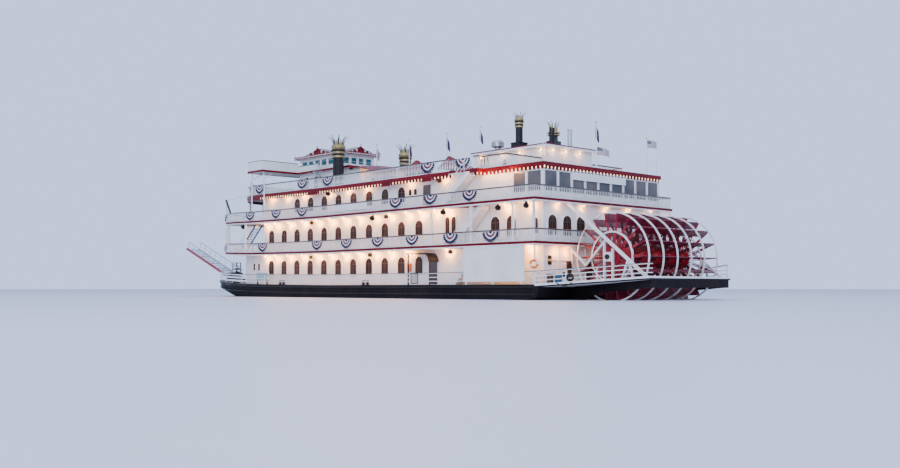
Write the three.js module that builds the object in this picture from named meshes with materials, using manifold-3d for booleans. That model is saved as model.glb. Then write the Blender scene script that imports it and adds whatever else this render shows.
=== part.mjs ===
// A three-decked stern-wheel excursion steamer, made as a model at half size.
// Lengths are metres of the full-size boat, and finished() turns them into millimetres of the model.
// X runs forward from the after edge of the third deck, Y to port, and Z up from the waterline.
import * as THREE from 'three';
import { mergeVertices } from 'three/addons/utils/BufferGeometryUtils.js';
import Module from 'manifold-3d';

const wasm = await Module();
wasm.setup();

// The model's scale, and the gap kept between pieces that touch (0.3 mm on the model)
const MM_PER_METRE = 500;
const SEAT = 0.0006;
const FAR = 14;

// Heights: the flat bottom, then the top of each deck, with the depth of its edge
const DRAFT = 1.5;
const MAIN = { top: 1.30, depth: 0.25 };
const SECOND = { top: 4.87, depth: 0.30 };
const THIRD = { top: 8.52, depth: 0.30 };
const ROOF = { top: 11.58, depth: 0.30 };
const BRIDGE = { top: 14.60, depth: 0.20 };

// Plans: half the beam, the after end, where the side starts to round in, and the tip of the bow
const MAIN_PLAN = { half: 9.75, aft: 0, shoulder: 44.6, tip: 60.6 };
const DECK_PLAN = { half: 9.75, aft: 0, shoulder: 44.7, tip: 58.7 };
const ROOF_PLAN = { half: 9.0, aft: 7.4, shoulder: 43.0, tip: 53.0 };

// Behind the stairs the roof is narrower, flush with the posts of the verandah
const ROOF_STERN = { half: 8.3, aft: 0.3 };
const BOW_STEPS = 12;

// The decks rise towards the bow, and the main deck also rises over the fantail
// columns: x, rise above the level amidships
const SHEER = [
  [-10, 0.72], [0, 0], [30, 0], [38, 0.08], [44, 0.15], [50, 0.34], [55, 0.62], [60.6, 0.95], [64, 1.15],
];

// The fantail carries the wheel between two girders, closed by a beam behind it
const FANTAIL = { aft: -8.5, half: 5.85, wellAft: -8.0, wellFore: -0.5, wellHalf: 5.15 };
const GIRDER = { inner: 5.15, outer: 5.6, depth: 0.65 };
const TRUSS = { inner: 5.27, outer: 5.47 };

// The wheel
const WHEEL = { x: -4.17, z: 3.55, radius: 3.75, rimDepth: 0.12, innerRing: 2.15, hub: 0.75 };
const FRAMES = 6;
const FRAME_PITCH = 1.96;
const FRAME_WIDTH = 0.10;
const PADDLES = 18;
const RIM_STEPS = 18;
const PADDLE = { depth: 0.72, thick: 0.07 };
const ARM_WIDTH = 0.10;
const SHAFT = { radius: 0.20, half: 5.65, sides: 16 };

// Houses on the decks, with their walls
const WALL = 0.15;
const HOUSE_HALF = 8.2;
const HOUSE_AFT = 0.4;

// Rails: distance of the rail from the deck's edge, its width and height, and the spacing of its posts
const RAIL = { inset: 0.12, width: 0.08, height: 1.07, post: 0.06, spacing: 5.14 };
const ROOF_RAIL_AFT = 4.6;
const COLUMN = 0.18;
const COLUMN_STATIONS = [2.6, 7.7, 12.85];
const BOW_COLUMN_STATIONS = [45.4, 50.8, 55.4];

// Doors and the stairs in the side walkways
const DOOR = { width: 0.95, height: 2.05, thick: 0.05, lap: 0.04, barrel: 0.044 };
const STAIR = { inner: 8.36, outer: 9.36, deep: 0.35, steps: 13 };
const BOW_STAIR = { inner: 6.2, outer: 7.2 };

// Landing stages hinged on the foredeck
const STAGE = { hinge: 55.0, side: 5.0, length: 12.2, half: 0.95, slope: 19.5, lift: 0.30, below: 0.16 };

// Rudders under the raked stern
const RUDDER = { stock: 1.9, ahead: 1.1, astern: 1.25, thick: 0.12, foot: -1.42, y: 3.4 };
const RAKE = { foot: 6.5, head: 0.0, headHeight: 0.25 };

// Chimneys
const CHIMNEY = { x: 33.8, y: 4.85, radius: 0.60, bandFoot: 15.55, crownFoot: 16.40, tip: 17.75, spikes: 8 };
const STERN_STACK = { x: 8.3, y: 2.7, radius: 0.34, bandFoot: 15.75, crownFoot: 16.2, tip: 17.3, spikes: 8 };

// Colours
const WHITE = 0xf0efec;
const RED = 0x9c1423;
const BLACK = 0x16161a;
const GREY = 0x8f9194;
const GOLD = 0xc9a13b;
const BROWN = 0x4a2f23;

// Booleans on closed solids
function solidOf(geometry) {
  const bare = geometry.clone();
  bare.deleteAttribute('normal');
  bare.deleteAttribute('uv');
  const merged = mergeVertices(bare, 1e-6);
  return new wasm.Manifold(new wasm.Mesh({
    numProp: 3,
    vertProperties: new Float32Array(merged.attributes.position.array),
    triVerts: new Uint32Array(merged.index.array),
  }));
}

function joined(solids) {
  return solids.reduce((whole, next) => whole.add(next));
}

function finished(solid) {
  const mesh = solid.getMesh();
  const geometry = new THREE.BufferGeometry();
  geometry.setAttribute('position', new THREE.BufferAttribute(new Float32Array(mesh.vertProperties), 3));
  geometry.setIndex(new THREE.BufferAttribute(new Uint32Array(mesh.triVerts), 1));
  geometry.scale(MM_PER_METRE, MM_PER_METRE, MM_PER_METRE);
  geometry.computeVertexNormals();
  return geometry;
}

// Basic shapes. Outlines are lists of [along, up] or [x, y] pairs.
function block(x0, x1, y0, y1, z0, z1) {
  const geometry = new THREE.BoxGeometry(x1 - x0, y1 - y0, z1 - z0);
  geometry.translate((x0 + x1) / 2, (y0 + y1) / 2, (z0 + z1) / 2);
  return solidOf(geometry);
}

function extruded(outline, depth) {
  const shape = new THREE.Shape(outline.map(([a, b]) => new THREE.Vector2(a, b)));
  return new THREE.ExtrudeGeometry(shape, { depth, bevelEnabled: false });
}

// An outline in plan, raised from z0 to z1
function slab(outline, z0, z1) {
  return solidOf(extruded(outline, z1 - z0).translate(0, 0, z0));
}

// A side view in X and Z, carried across from y0 to y1
function across(outline, y0, y1) {
  return solidOf(extruded(outline, y1 - y0).rotateX(Math.PI / 2).translate(0, y1, 0));
}

// An end view in Y and Z, carried along from x0 to x1
function along(outline, x0, x1) {
  return solidOf(extruded(outline, x1 - x0).rotateX(Math.PI / 2).rotateZ(Math.PI / 2).translate(x0, 0, 0));
}

// A straight square bar between two points
function bar(from, to, width, height = width) {
  const start = new THREE.Vector3(...from);
  const end = new THREE.Vector3(...to);
  const run = end.clone().sub(start);
  const geometry = new THREE.BoxGeometry(run.length(), width, height);
  const turn = new THREE.Quaternion().setFromUnitVectors(new THREE.Vector3(1, 0, 0), run.normalize());
  geometry.applyQuaternion(turn);
  const middle = start.add(end).multiplyScalar(0.5);
  return solidOf(geometry.translate(middle.x, middle.y, middle.z));
}

// A round bar between two points
function rod(from, to, radius, sides = 10, endRadius = radius) {
  const start = new THREE.Vector3(...from);
  const end = new THREE.Vector3(...to);
  const run = end.clone().sub(start);
  const geometry = new THREE.CylinderGeometry(endRadius, radius, run.length(), sides);
  const turn = new THREE.Quaternion().setFromUnitVectors(new THREE.Vector3(0, 1, 0), run.normalize());
  geometry.applyQuaternion(turn);
  const middle = start.add(end).multiplyScalar(0.5);
  return solidOf(geometry.translate(middle.x, middle.y, middle.z));
}

// A turned shape about an upright axis, from [radius, height] pairs that start and end on the axis
function turned(profile, sides, x, y) {
  const points = profile.map(([radius, height]) => new THREE.Vector2(radius, height));
  return solidOf(new THREE.LatheGeometry(points, sides).rotateX(Math.PI / 2).translate(x, y, 0));
}

// Sheer: the height of a level at X above its height amidships
function rise(x) {
  const next = SHEER.findIndex(([station]) => station >= x);
  const [x0, rise0] = SHEER[next - 1];
  const [x1, rise1] = SHEER[next];
  return rise0 + (rise1 - rise0) * (x - x0) / (x1 - x0);
}

// Everything between two levels that follow the sheer
function between(low, high) {
  const lower = SHEER.map(([x, up]) => [x, low + up]);
  const upper = SHEER.map(([x, up]) => [x, high + up]);
  return across([...lower, ...upper.reverse()], -FAR, FAR);
}

const underside = (deck) => deck.top - deck.depth;

// A deck's outline, drawn in from its edge by inset: square aft, round at the bow
function planOutline(plan, inset = 0) {
  const half = plan.half - inset;
  const outline = [[plan.aft + inset, -half]];
  for (let step = 0; step <= BOW_STEPS; step += 1) {
    const turn = Math.PI * (step / BOW_STEPS - 0.5);
    outline.push([
      plan.shoulder + (plan.tip - inset - plan.shoulder) * Math.cos(turn),
      half * Math.sin(turn),
    ]);
  }
  outline.push([plan.aft + inset, half]);
  return outline;
}

// How far out the edge of a plan lies at X
function halfWidthAt(plan, x, inset = 0) {
  const half = plan.half - inset;
  if (x <= plan.shoulder) return half;
  const part = (x - plan.shoulder) / (plan.tip - inset - plan.shoulder);
  return half * Math.sqrt(1 - part * part);
}

// Places along an open or closed line at even steps
function walked(line, spacing) {
  const places = [];
  let left = 0;
  for (let i = 1; i < line.length; i += 1) {
    const [x0, y0] = line[i - 1];
    const [x1, y1] = line[i];
    const length = Math.hypot(x1 - x0, y1 - y0);
    let at = left;
    while (at < length) {
      places.push([x0 + (x1 - x0) * at / length, y0 + (y1 - y0) * at / length]);
      at += spacing;
    }
    left = at - length;
  }
  return places;
}

function walls(outline, inner, z0, z1) {
  return slab(outline, -2, 16).subtract(slab(inner, -3, 17)).intersect(between(z0, z1));
}

function square(x, y, size) {
  return block(x - size / 2, x + size / 2, y - size / 2, y + size / 2, -2, 20);
}

const boat = new THREE.Group();
const stageTilt = THREE.MathUtils.degToRad(STAGE.slope);
const stageTip = STAGE.hinge + STAGE.length * Math.cos(stageTilt) + STAGE.below * Math.sin(stageTilt);
const middleX = (FANTAIL.aft + stageTip) / 2;
boat.position.set(-middleX * MM_PER_METRE, 0, DRAFT * MM_PER_METRE);

function piece(name, solid, color, { roughness = 0.45, metalness = 0, at = [0, 0, 0], parent = boat } = {}) {
  const mesh = new THREE.Mesh(finished(solid), new THREE.MeshStandardMaterial({ color, roughness, metalness }));
  mesh.name = name;
  mesh.position.set(...at).multiplyScalar(MM_PER_METRE);
  parent.add(mesh);
  return mesh;
}

const SIDES = [['port', 1], ['starboard', -1]];

// Mirrors a span of Y to the side it belongs to
function span(side, inner, outer) {
  return side > 0 ? [inner, outer] : [-outer, -inner];
}

// Hull: a loft through four plans, cut off level with the underside of the main deck
// columns: height, half beam, after end, shoulder, tip of the bow
const HULL_LEVELS = [
  [-DRAFT, 9.30, RAKE.foot, 38.0, 50.5],
  [RAKE.headHeight, 9.62, RAKE.head, 42.6, 57.4],
  [1.05, 9.70, -0.5, 44.4, 60.2],
  [2.60, 9.70, -0.5, 44.4, 60.6],
];

function hullLoft() {
  const rings = HULL_LEVELS.map(([z, half, aft, shoulder, tip]) => (
    planOutline({ half, aft, shoulder, tip }).map(([x, y]) => [x, y, z])
  ));
  const count = rings[0].length;
  const positions = rings.flat(2);
  const faces = [];
  for (let level = 0; level + 1 < rings.length; level += 1) {
    for (let i = 0; i < count; i += 1) {
      const j = (i + 1) % count;
      const low = level * count;
      const high = low + count;
      faces.push(low + i, low + j, high + j, low + i, high + j, high + i);
    }
  }
  const top = (rings.length - 1) * count;
  for (let i = 1; i + 1 < count; i += 1) {
    faces.push(0, i + 1, i, top, top + i, top + i + 1);
  }
  const geometry = new THREE.BufferGeometry();
  geometry.setAttribute('position', new THREE.Float32BufferAttribute(positions, 3));
  geometry.setIndex(faces);
  return solidOf(geometry);
}

// Side girders, deep at the transom and tapering up towards the after beam
function girders() {
  const top = 2.5;
  const foot = (x) => underside(MAIN) + rise(x) - GIRDER.depth;
  const outline = [
    [-0.3, top], [-0.3, -0.35], [-1.2, -0.20], [-3.0, foot(-3.0)],
    [FANTAIL.aft + 0.3, foot(FANTAIL.aft)], [FANTAIL.aft, foot(FANTAIL.aft) + 0.25], [FANTAIL.aft, top],
  ];
  const sides = SIDES.map(([, side]) => across(outline, ...span(side, GIRDER.inner, GIRDER.outer)));
  const beam = block(FANTAIL.aft, FANTAIL.wellAft, -GIRDER.outer, GIRDER.outer, foot(FANTAIL.aft), top);
  return joined([...sides, beam]);
}

const rakeAt = (x) => RAKE.headHeight - (RAKE.headHeight + DRAFT) * (x - RAKE.head) / (RAKE.foot - RAKE.head);
const rudderPlaces = [['port', RUDDER.y], ['starboard', -RUDDER.y]];
const rudderHead = rakeAt(RUDDER.stock) - 0.16;
const rudderBosses = rudderPlaces.map(([, y]) => (
  rod([RUDDER.stock, y, rudderHead + 0.04], [RUDDER.stock, y, 0.4], 0.22)
));
const belowMainDeck = between(-4, underside(MAIN) - SEAT);
piece('hull', joined([hullLoft(), girders(), ...rudderBosses]).intersect(belowMainDeck), BLACK);

// Rudders: a blade with a raked head ahead of the stock, and a stock up into its boss
for (const [place, y] of rudderPlaces) {
  const headGap = 0.10;
  const fore = RUDDER.ahead;
  const aft = -RUDDER.astern;
  const top = rudderHead - headGap;
  const foreTop = rakeAt(RUDDER.stock + fore) - headGap - 0.1;
  const blade = across(
    [[aft, RUDDER.foot], [fore, RUDDER.foot], [fore, foreTop], [0.25, top], [aft, top]],
    -RUDDER.thick / 2,
    RUDDER.thick / 2,
  );
  const stock = rod([0, 0, RUDDER.foot + 0.05], [0, 0, rudderHead + 0.04 - SEAT], 0.12);
  piece(`rudder_${place}`, blade.add(stock), BLACK, { at: [RUDDER.stock, y, 0] });
}

// Deck plates
const mainOutline = [
  [FANTAIL.aft, -FANTAIL.half], ...planOutline(MAIN_PLAN), [FANTAIL.aft, FANTAIL.half],
];
const well = block(FANTAIL.wellAft, FANTAIL.wellFore, -FANTAIL.wellHalf, FANTAIL.wellHalf, -2, 4);
const stageHinge = { x: STAGE.hinge, z: MAIN.top + rise(STAGE.hinge) + STAGE.lift };
const stageLugs = SIDES.flatMap(([, side]) => [-1, 1].map((end) => {
  const inner = STAGE.half + SEAT;
  const y = side * STAGE.side;
  const [y0, y1] = end > 0 ? [y + inner, y + inner + 0.12] : [y - inner - 0.12, y - inner];
  const foot = stageHinge.z - STAGE.lift - 0.12;
  const outline = [
    [STAGE.hinge - 0.3, foot], [STAGE.hinge + 0.3, foot],
    [STAGE.hinge + 0.14, stageHinge.z + 0.16], [STAGE.hinge - 0.14, stageHinge.z + 0.16],
  ];
  return across(outline, y0, y1);
}));
const mainPlate = slab(mainOutline, -2, 4).intersect(between(underside(MAIN), MAIN.top)).subtract(well);
piece('main_deck', joined([mainPlate, ...stageLugs]), WHITE);

// Stairs: which deck each flight leaves and reaches, where its foot and head are,
// the forward end of the well cut in the upper deck, and the width that it takes
const FLIGHTS = [
  { name: 'main_deck_stair', from: MAIN, to: SECOND, foot: 10.5, head: 6.9, wellFore: 9.9, width: STAIR },
  { name: 'second_deck_stair', from: SECOND, to: THIRD, foot: 10.3, head: 6.7, wellFore: 9.7, width: STAIR },
  { name: 'third_deck_stair', from: THIRD, to: ROOF, foot: 12.0, head: 8.4, wellFore: 11.2, width: STAIR },
  { name: 'foredeck_stair', from: SECOND, to: THIRD, foot: 50.9, head: 46.9, wellFore: 50.1, width: BOW_STAIR },
];

function withoutWells(plate, deck) {
  const wells = FLIGHTS.filter((flight) => flight.to === deck).flatMap((flight) => SIDES.map(([, side]) => {
    const reach = deck === ROOF ? 9.5 : flight.width.outer + 0.04;
    return block(flight.head, flight.wellFore, ...span(side, flight.width.inner - 0.04, reach), 0, 14);
  }));
  return plate.subtract(joined(wells));
}

function deckPlate(outline, deck) {
  return slab(outline, 0, 14).intersect(between(underside(deck), deck.top));
}

// The roof's outline, or the outline of the rail on it where the after end is given
function roofOutline(inset, aft = ROOF_STERN.aft) {
  const half = ROOF_STERN.half - inset;
  const step = ROOF_PLAN.aft + inset;
  return [
    [aft + inset, -half], [step, -half], ...planOutline(ROOF_PLAN, inset), [step, half], [aft + inset, half],
  ];
}

piece('second_deck', withoutWells(deckPlate(planOutline(DECK_PLAN), SECOND), SECOND), RED);
piece('third_deck', withoutWells(deckPlate(planOutline(DECK_PLAN), THIRD), THIRD), RED);

// Posts stand on the third deck under the front of the roof
// columns: x, distance from the middle line
const PORCH_POSTS = [[50.07, 6.16], [52.25, 2.93]];
const porchPosts = joined(PORCH_POSTS.flatMap(([x, y]) => [square(x, y, COLUMN), square(x, -y, COLUMN)]))
  .intersect(between(THIRD.top + SEAT, ROOF.top - 0.1));
piece('roof_deck', withoutWells(deckPlate(roofOutline(0), ROOF), ROOF).add(porchPosts), RED);

// Each flight is a folded plate: its steps above, a plain slope below
for (const flight of FLIGHTS) {
  const floor = flight.from.top + rise(flight.foot);
  const climb = flight.to.top + rise(flight.head) - floor;
  const low = floor - 0.1;
  const riser = climb / STAIR.steps;
  const going = (flight.foot - flight.head - SEAT) / (STAIR.steps - 1);
  const outline = [[flight.foot, low]];
  for (let step = 1; step < STAIR.steps; step += 1) {
    const height = floor + step * riser;
    outline.push([flight.foot - (step - 1) * going, height], [flight.foot - step * going, height]);
  }
  outline.push([flight.head + SEAT, floor + climb - riser - STAIR.deep]);
  outline.push([flight.foot - STAIR.deep * going / riser, low]);
  for (const [place, side] of SIDES) {
    const stair = across(outline, ...span(side, flight.width.inner, flight.width.outer))
      .intersect(between(flight.from.top + SEAT, 20));
    piece(`${flight.name}_${place}`, stair, WHITE);
  }
}

// Houses between the decks, with the doorways of the two doors on each side, which are hinged forward
// columns: name, deck, deck above, forward end, after edge of the doorway or none
const HOUSES = [
  ['main_deck_house', MAIN, SECOND, 47.5, 13.65],
  ['second_deck_house', SECOND, THIRD, 43.6, null],
  ['third_deck_house', THIRD, ROOF, 43.5, 14.6],
];

// The after end of the third deck's house is a glazed verandah: a bay between each two posts
const VERANDAH = { sill: 9.15, head: 10.95, pitch: 1.8, bays: 9, post: 0.2, sideBays: [[0.65, 2.25], [2.45, 3.9]] };
const verandahBays = Array.from({ length: VERANDAH.bays }, (_, index) => {
  const y = (index - (VERANDAH.bays - 1) / 2) * VERANDAH.pitch;
  const half = (VERANDAH.pitch - VERANDAH.post) / 2;
  return block(HOUSE_AFT - 1, HOUSE_AFT + 1, y - half, y + half, VERANDAH.sill, VERANDAH.head);
});
const sideBays = VERANDAH.sideBays.map(([x0, x1]) => block(x0, x1, -FAR, FAR, VERANDAH.sill, VERANDAH.head));

for (const [name, deck, above, fore, doorway] of HOUSES) {
  const outline = [[HOUSE_AFT, -HOUSE_HALF], [fore, -HOUSE_HALF], [fore, HOUSE_HALF], [HOUSE_AFT, HOUSE_HALF]];
  const inner = [
    [HOUSE_AFT + WALL, WALL - HOUSE_HALF], [fore - WALL, WALL - HOUSE_HALF],
    [fore - WALL, HOUSE_HALF - WALL], [HOUSE_AFT + WALL, HOUSE_HALF - WALL],
  ];
  let house = walls(outline, inner, deck.top + SEAT, underside(above) - SEAT);
  if (above === ROOF) house = house.subtract(joined([...verandahBays, ...sideBays]));
  if (doorway !== null) {
    const foot = deck.top + 0.12;
    const hole = block(
      doorway, doorway + DOOR.width, -HOUSE_HALF - 1, HOUSE_HALF + 1, foot, foot + DOOR.height,
    );
    house = house.subtract(hole);
    for (const [place, side] of SIDES) {
      const barrel = rod([0, 0, foot + 0.15], [0, 0, foot + DOOR.height - 0.15], DOOR.barrel, 8);
      const hingeY = side * (HOUSE_HALF + DOOR.barrel + SEAT);
      const half = DOOR.thick / 2;
      const lap = DOOR.lap;
      const board = block(-DOOR.width - lap, 0, -half, half, foot - lap, foot + DOOR.height + lap);
      const doorName = name.replace('house', `door_${place}`);
      piece(doorName, board.add(barrel), BROWN, { at: [doorway + DOOR.width, hingeY, 0] });
    }
  }
  piece(name, house, WHITE);
}

// A blank board across the verandah
piece('stern_board', block(HOUSE_AFT - 0.06, HOUSE_AFT - SEAT, -2.9, 4.56, 10.35, 11.1), WHITE);

// Rails: level bars joined by posts, near the edge of a deck
function railing(edge, deck, bars, height = RAIL.height) {
  const course = slab(edge(RAIL.inset), -3, 18).subtract(slab(edge(RAIL.inset + RAIL.width), -4, 19));
  const middle = edge(RAIL.inset + RAIL.width / 2);
  const posts = walked([...middle, middle[0]], RAIL.spacing).map(([x, y]) => square(x, y, RAIL.post));
  const parts = bars.map(([low, high]) => course.intersect(between(deck.top + low, deck.top + high)));
  parts.push(joined(posts).intersect(between(deck.top + SEAT, deck.top + height - 0.03)));
  return joined(parts);
}

// Columns stand in the rail and reach up to the deck above
function columns(plan, deck, above, stations) {
  const middle = RAIL.inset + RAIL.width / 2 + 0.03;
  const stems = stations.flatMap((x) => {
    const y = halfWidthAt(plan, x, middle);
    return [square(x, y, COLUMN), square(x, -y, COLUMN)];
  });
  return joined(stems).intersect(between(deck.top + SEAT, underside(above) - SEAT));
}

const BALUSTRADE_BARS = [[0.04, 0.13], [0.98, RAIL.height]];
const OPEN_BARS = [[0.28, 0.35], [0.63, 0.70], [0.99, RAIL.height]];
const columnStations = [0.25, ...COLUMN_STATIONS, ...BOW_COLUMN_STATIONS];
const deckEdge = (inset) => planOutline(DECK_PLAN, inset);
const secondColumns = columns(DECK_PLAN, SECOND, THIRD, columnStations);
piece('second_deck_rail', railing(deckEdge, SECOND, BALUSTRADE_BARS).add(secondColumns), WHITE);

// Two derrick posts lean out of the third deck's rail over the landing stages
const DERRICK = { foot: 55.36, head: 57.84, top: 12.28, thick: 0.18 };
const derricks = joined(SIDES.map(([, side]) => {
  const y = side * STAGE.side;
  return bar([DERRICK.foot, y, THIRD.top], [DERRICK.head, y, DERRICK.top], DERRICK.thick);
})).intersect(between(THIRD.top + SEAT, 20));
piece('third_deck_rail', railing(deckEdge, THIRD, BALUSTRADE_BARS).add(derricks), WHITE);

// The roof's rail is open at the stairs, and behind them it turns in to the stern house
const ROOF_BARS = [[0.04, 0.13], [1.06, 1.15]];
const roofEdge = (inset) => roofOutline(inset, ROOF_RAIL_AFT);
const roofGates = SIDES.map(([, side]) => block(8.1, 11.4, ...span(side, 7.5, 10), 8, 16));
const sternHouseGap = block(4, 7.3, -3.3 - SEAT, 3.3 + SEAT, 8, 16);
const roofRail = railing(roofEdge, ROOF, ROOF_BARS, 1.15).subtract(joined([...roofGates, sternHouseGap]));
for (const run of roofRail.decompose()) {
  const { min, max } = run.boundingBox();
  const aftPlace = min[1] > 0 ? 'port' : 'starboard';
  piece(`roof_rail_${max[0] > 20 ? 'forward' : aftPlace}`, run, WHITE);
}

// The main deck's rail follows the fantail, and leaves the bow and the wheel open
const mainEdge = (inset) => [
  [FANTAIL.aft + inset, -FANTAIL.half + inset],
  ...planOutline({ ...MAIN_PLAN, aft: -inset }, inset),
  [FANTAIL.aft + inset, FANTAIL.half - inset],
];
const mainOpenings = joined([
  block(56.4, 62, -FAR, FAR, -2, 6),
  block(FANTAIL.aft - 1, FANTAIL.aft + 0.6, -FANTAIL.wellHalf, FANTAIL.wellHalf, -2, 6),
]);
for (const run of railing(mainEdge, MAIN, OPEN_BARS).subtract(mainOpenings).decompose()) {
  piece(`main_deck_rail_${run.boundingBox().min[1] > 0 ? 'port' : 'starboard'}`, run, WHITE);
}

// Blank name boards hang from the second deck on both sides, outside the rail
const BOARD = { fore: 8.5, aft: 1.2, foot: 1.55, thick: 0.06, y: 9.72 };
for (const [place, side] of SIDES) {
  const [y0, y1] = span(side, BOARD.y - BOARD.thick, BOARD.y);
  const board = block(BOARD.aft, BOARD.fore, y0, y1, BOARD.foot, underside(SECOND) - SEAT);
  const feet = [BOARD.aft + 0.3, (BOARD.aft + BOARD.fore) / 2, BOARD.fore - 0.3].map((x) => (
    block(x - 0.08, x + 0.08, y0, y1, MAIN.top + SEAT, BOARD.foot + 0.1)
  ));
  piece(`name_board_${place}`, joined([board, ...feet]), WHITE);
}

// Boarding awnings: a flat cover on two posts, rounded down at its after end
const AWNING = { aft: 13.35, fore: 16.6, inner: 8.26, outer: 9.5, crown: 4.25, round: 0.85, thick: 0.07, post: 0.10 };
for (const [place, side] of SIDES) {
  const [y0, y1] = span(side, AWNING.inner, AWNING.outer);
  const upper = [[AWNING.fore, AWNING.crown]];
  const lower = [[AWNING.fore, AWNING.crown - AWNING.thick]];
  const steps = 6;
  for (let step = 0; step <= steps; step += 1) {
    const turn = (Math.PI / 2) * (step / steps);
    for (const [line, radius] of [[upper, AWNING.round], [lower, AWNING.round - AWNING.thick]]) {
      line.push([
        AWNING.aft + AWNING.round - radius * Math.sin(turn),
        AWNING.crown - AWNING.round + radius * Math.cos(turn),
      ]);
    }
  }
  const cover = across([...upper, ...lower.reverse()], y0, y1);
  // columns: after face of the post, its top
  const posts = [
    [AWNING.aft + 0.01, AWNING.crown - AWNING.round + 0.2],
    [AWNING.fore - 0.2, AWNING.crown - 0.03],
  ].map(([x, top]) => block(
    x, x + AWNING.post, ...span(side, AWNING.outer - 0.2, AWNING.outer - 0.2 + AWNING.post), MAIN.top + SEAT, top,
  ));
  piece(`boarding_awning_${place}`, joined([cover, ...posts]), BLACK);
}

// Trusses that hold up the fantail: the long diagonal, a V strut, the two posts of the bearing, a knee
const halfFacet = Math.PI / SHAFT.sides;
const bearingHole = (SHAFT.radius + SEAT) / Math.cos(halfFacet);
for (const [place, side] of SIDES) {
  const y = side * (TRUSS.inner + TRUSS.outer) / 2;
  const wide = TRUSS.outer - TRUSS.inner;
  // columns: from x, from z, to x, to z, depth
  const bars = [
    [0.25, 8.32, -8.15, 1.72, 0.24],
    [0.20, 4.66, -1.80, 2.90, 0.16],
    [-1.80, 2.90, -4.05, 5.05, 0.16],
    [-3.75, 1.3, -3.75, 4.85, 0.14],
    [-4.60, 1.3, -4.60, 4.2, 0.14],
    [-5.45, 1.5, -6.15, 3.25, 0.14],
    [-6.75, 1.5, -6.15, 3.25, 0.14],
  ];
  const parts = bars.map(([x0, z0, x1, z1, deep]) => bar([x0, y, z0], [x1, y, z1], wide, deep));
  const bearing = block(-4.58, -3.76, y - 0.13, y + 0.13, WHEEL.z - 0.38, WHEEL.z + 0.38);
  const bore = new THREE.CylinderGeometry(bearingHole, bearingHole, 1, SHAFT.sides).rotateY(halfFacet);
  parts.push(bearing);
  const limits = joined([
    block(-9, 0.35, -FAR, FAR, 5.5, underside(THIRD) - SEAT),
    block(-9, 0.35, -FAR, FAR, 1, underside(SECOND) - SEAT),
    block(-9, -0.2, -FAR, FAR, 1, 6),
  ]).intersect(between(MAIN.top + SEAT, 12));
  const truss = joined(parts).intersect(limits).subtract(solidOf(bore.translate(WHEEL.x, y, WHEEL.z)));
  piece(`fantail_truss_${place}`, truss, WHITE);
}

// The wheel turns about its own origin
const wheel = new THREE.Group();
wheel.position.set(WHEEL.x, 0, WHEEL.z).multiplyScalar(MM_PER_METRE);
boat.add(wheel);

function wheelRing(outer, depth, y, width) {
  const shape = new THREE.Shape();
  shape.absarc(0, 0, outer, 0, Math.PI * 2);
  const hole = new THREE.Path();
  hole.absarc(0, 0, outer - depth, 0, Math.PI * 2);
  shape.holes.push(hole);
  const geometry = new THREE.ExtrudeGeometry(shape, { depth: width, bevelEnabled: false, curveSegments: RIM_STEPS });
  return solidOf(geometry.rotateX(Math.PI / 2).translate(0, y + width / 2, 0));
}

// A frame is one plate: a hub and arms inside a rim, with a gap between each two arms
function wheelFrame(y) {
  const turn = 2 * Math.PI / PADDLES;
  const shape = new THREE.Shape();
  shape.absarc(0, 0, WHEEL.radius, 0, Math.PI * 2);
  const at = (angle, out, aside) => new THREE.Vector2(
    out * Math.cos(angle) - aside * Math.sin(angle),
    out * Math.sin(angle) + aside * Math.cos(angle),
  );
  const rimInner = WHEEL.radius - WHEEL.rimDepth;
  const half = ARM_WIDTH / 2;
  for (let index = 0; index < PADDLES; index += 1) {
    const angle = index * turn;
    shape.holes.push(new THREE.Path([
      at(angle, WHEEL.hub, half),
      at(angle, rimInner, half),
      at(angle + turn / 2, rimInner, 0),
      at(angle + turn, rimInner, -half),
      at(angle + turn, WHEEL.hub, -half),
    ]));
  }
  const geometry = new THREE.ExtrudeGeometry(shape, {
    depth: FRAME_WIDTH, bevelEnabled: false, curveSegments: RIM_STEPS,
  });
  return solidOf(geometry.rotateX(Math.PI / 2).translate(0, y + FRAME_WIDTH / 2, 0));
}

const frameYs = Array.from({ length: FRAMES }, (_, index) => (index - (FRAMES - 1) / 2) * FRAME_PITCH);
const endY = frameYs[FRAMES - 1];
const paddles = Array.from({ length: PADDLES }, (_, index) => {
  const inner = WHEEL.radius - WHEEL.rimDepth - PADDLE.depth;
  const geometry = new THREE.BoxGeometry(PADDLE.depth, 2 * endY + 0.3, PADDLE.thick);
  geometry.translate(inner + PADDLE.depth / 2 + 0.04, 0, 0);
  return solidOf(geometry.rotateY(-index * 2 * Math.PI / PADDLES));
});
const innerRings = [-endY, endY].map((y) => wheelRing(WHEEL.innerRing, 0.14, y, FRAME_WIDTH * 1.4));
const bored = rod([0, -7, 0], [0, 7, 0], SHAFT.radius + SEAT, SHAFT.sides);
const wheelBody = joined([...frameYs.map(wheelFrame), ...paddles, ...innerRings]).subtract(bored);
piece('paddle_wheel', wheelBody, RED, { parent: wheel });
const shaft = rod([0, -SHAFT.half, 0], [0, SHAFT.half, 0], SHAFT.radius, SHAFT.sides);
piece('wheel_shaft', shaft, BLACK, { parent: wheel, metalness: 0.6 });

// The engine stands on the main deck, ahead of the wheel
piece('engine_block', block(2.5, 7.5, -1.6, 1.6, MAIN.top + SEAT, 3.2), GREY, { metalness: 0.5 });

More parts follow.
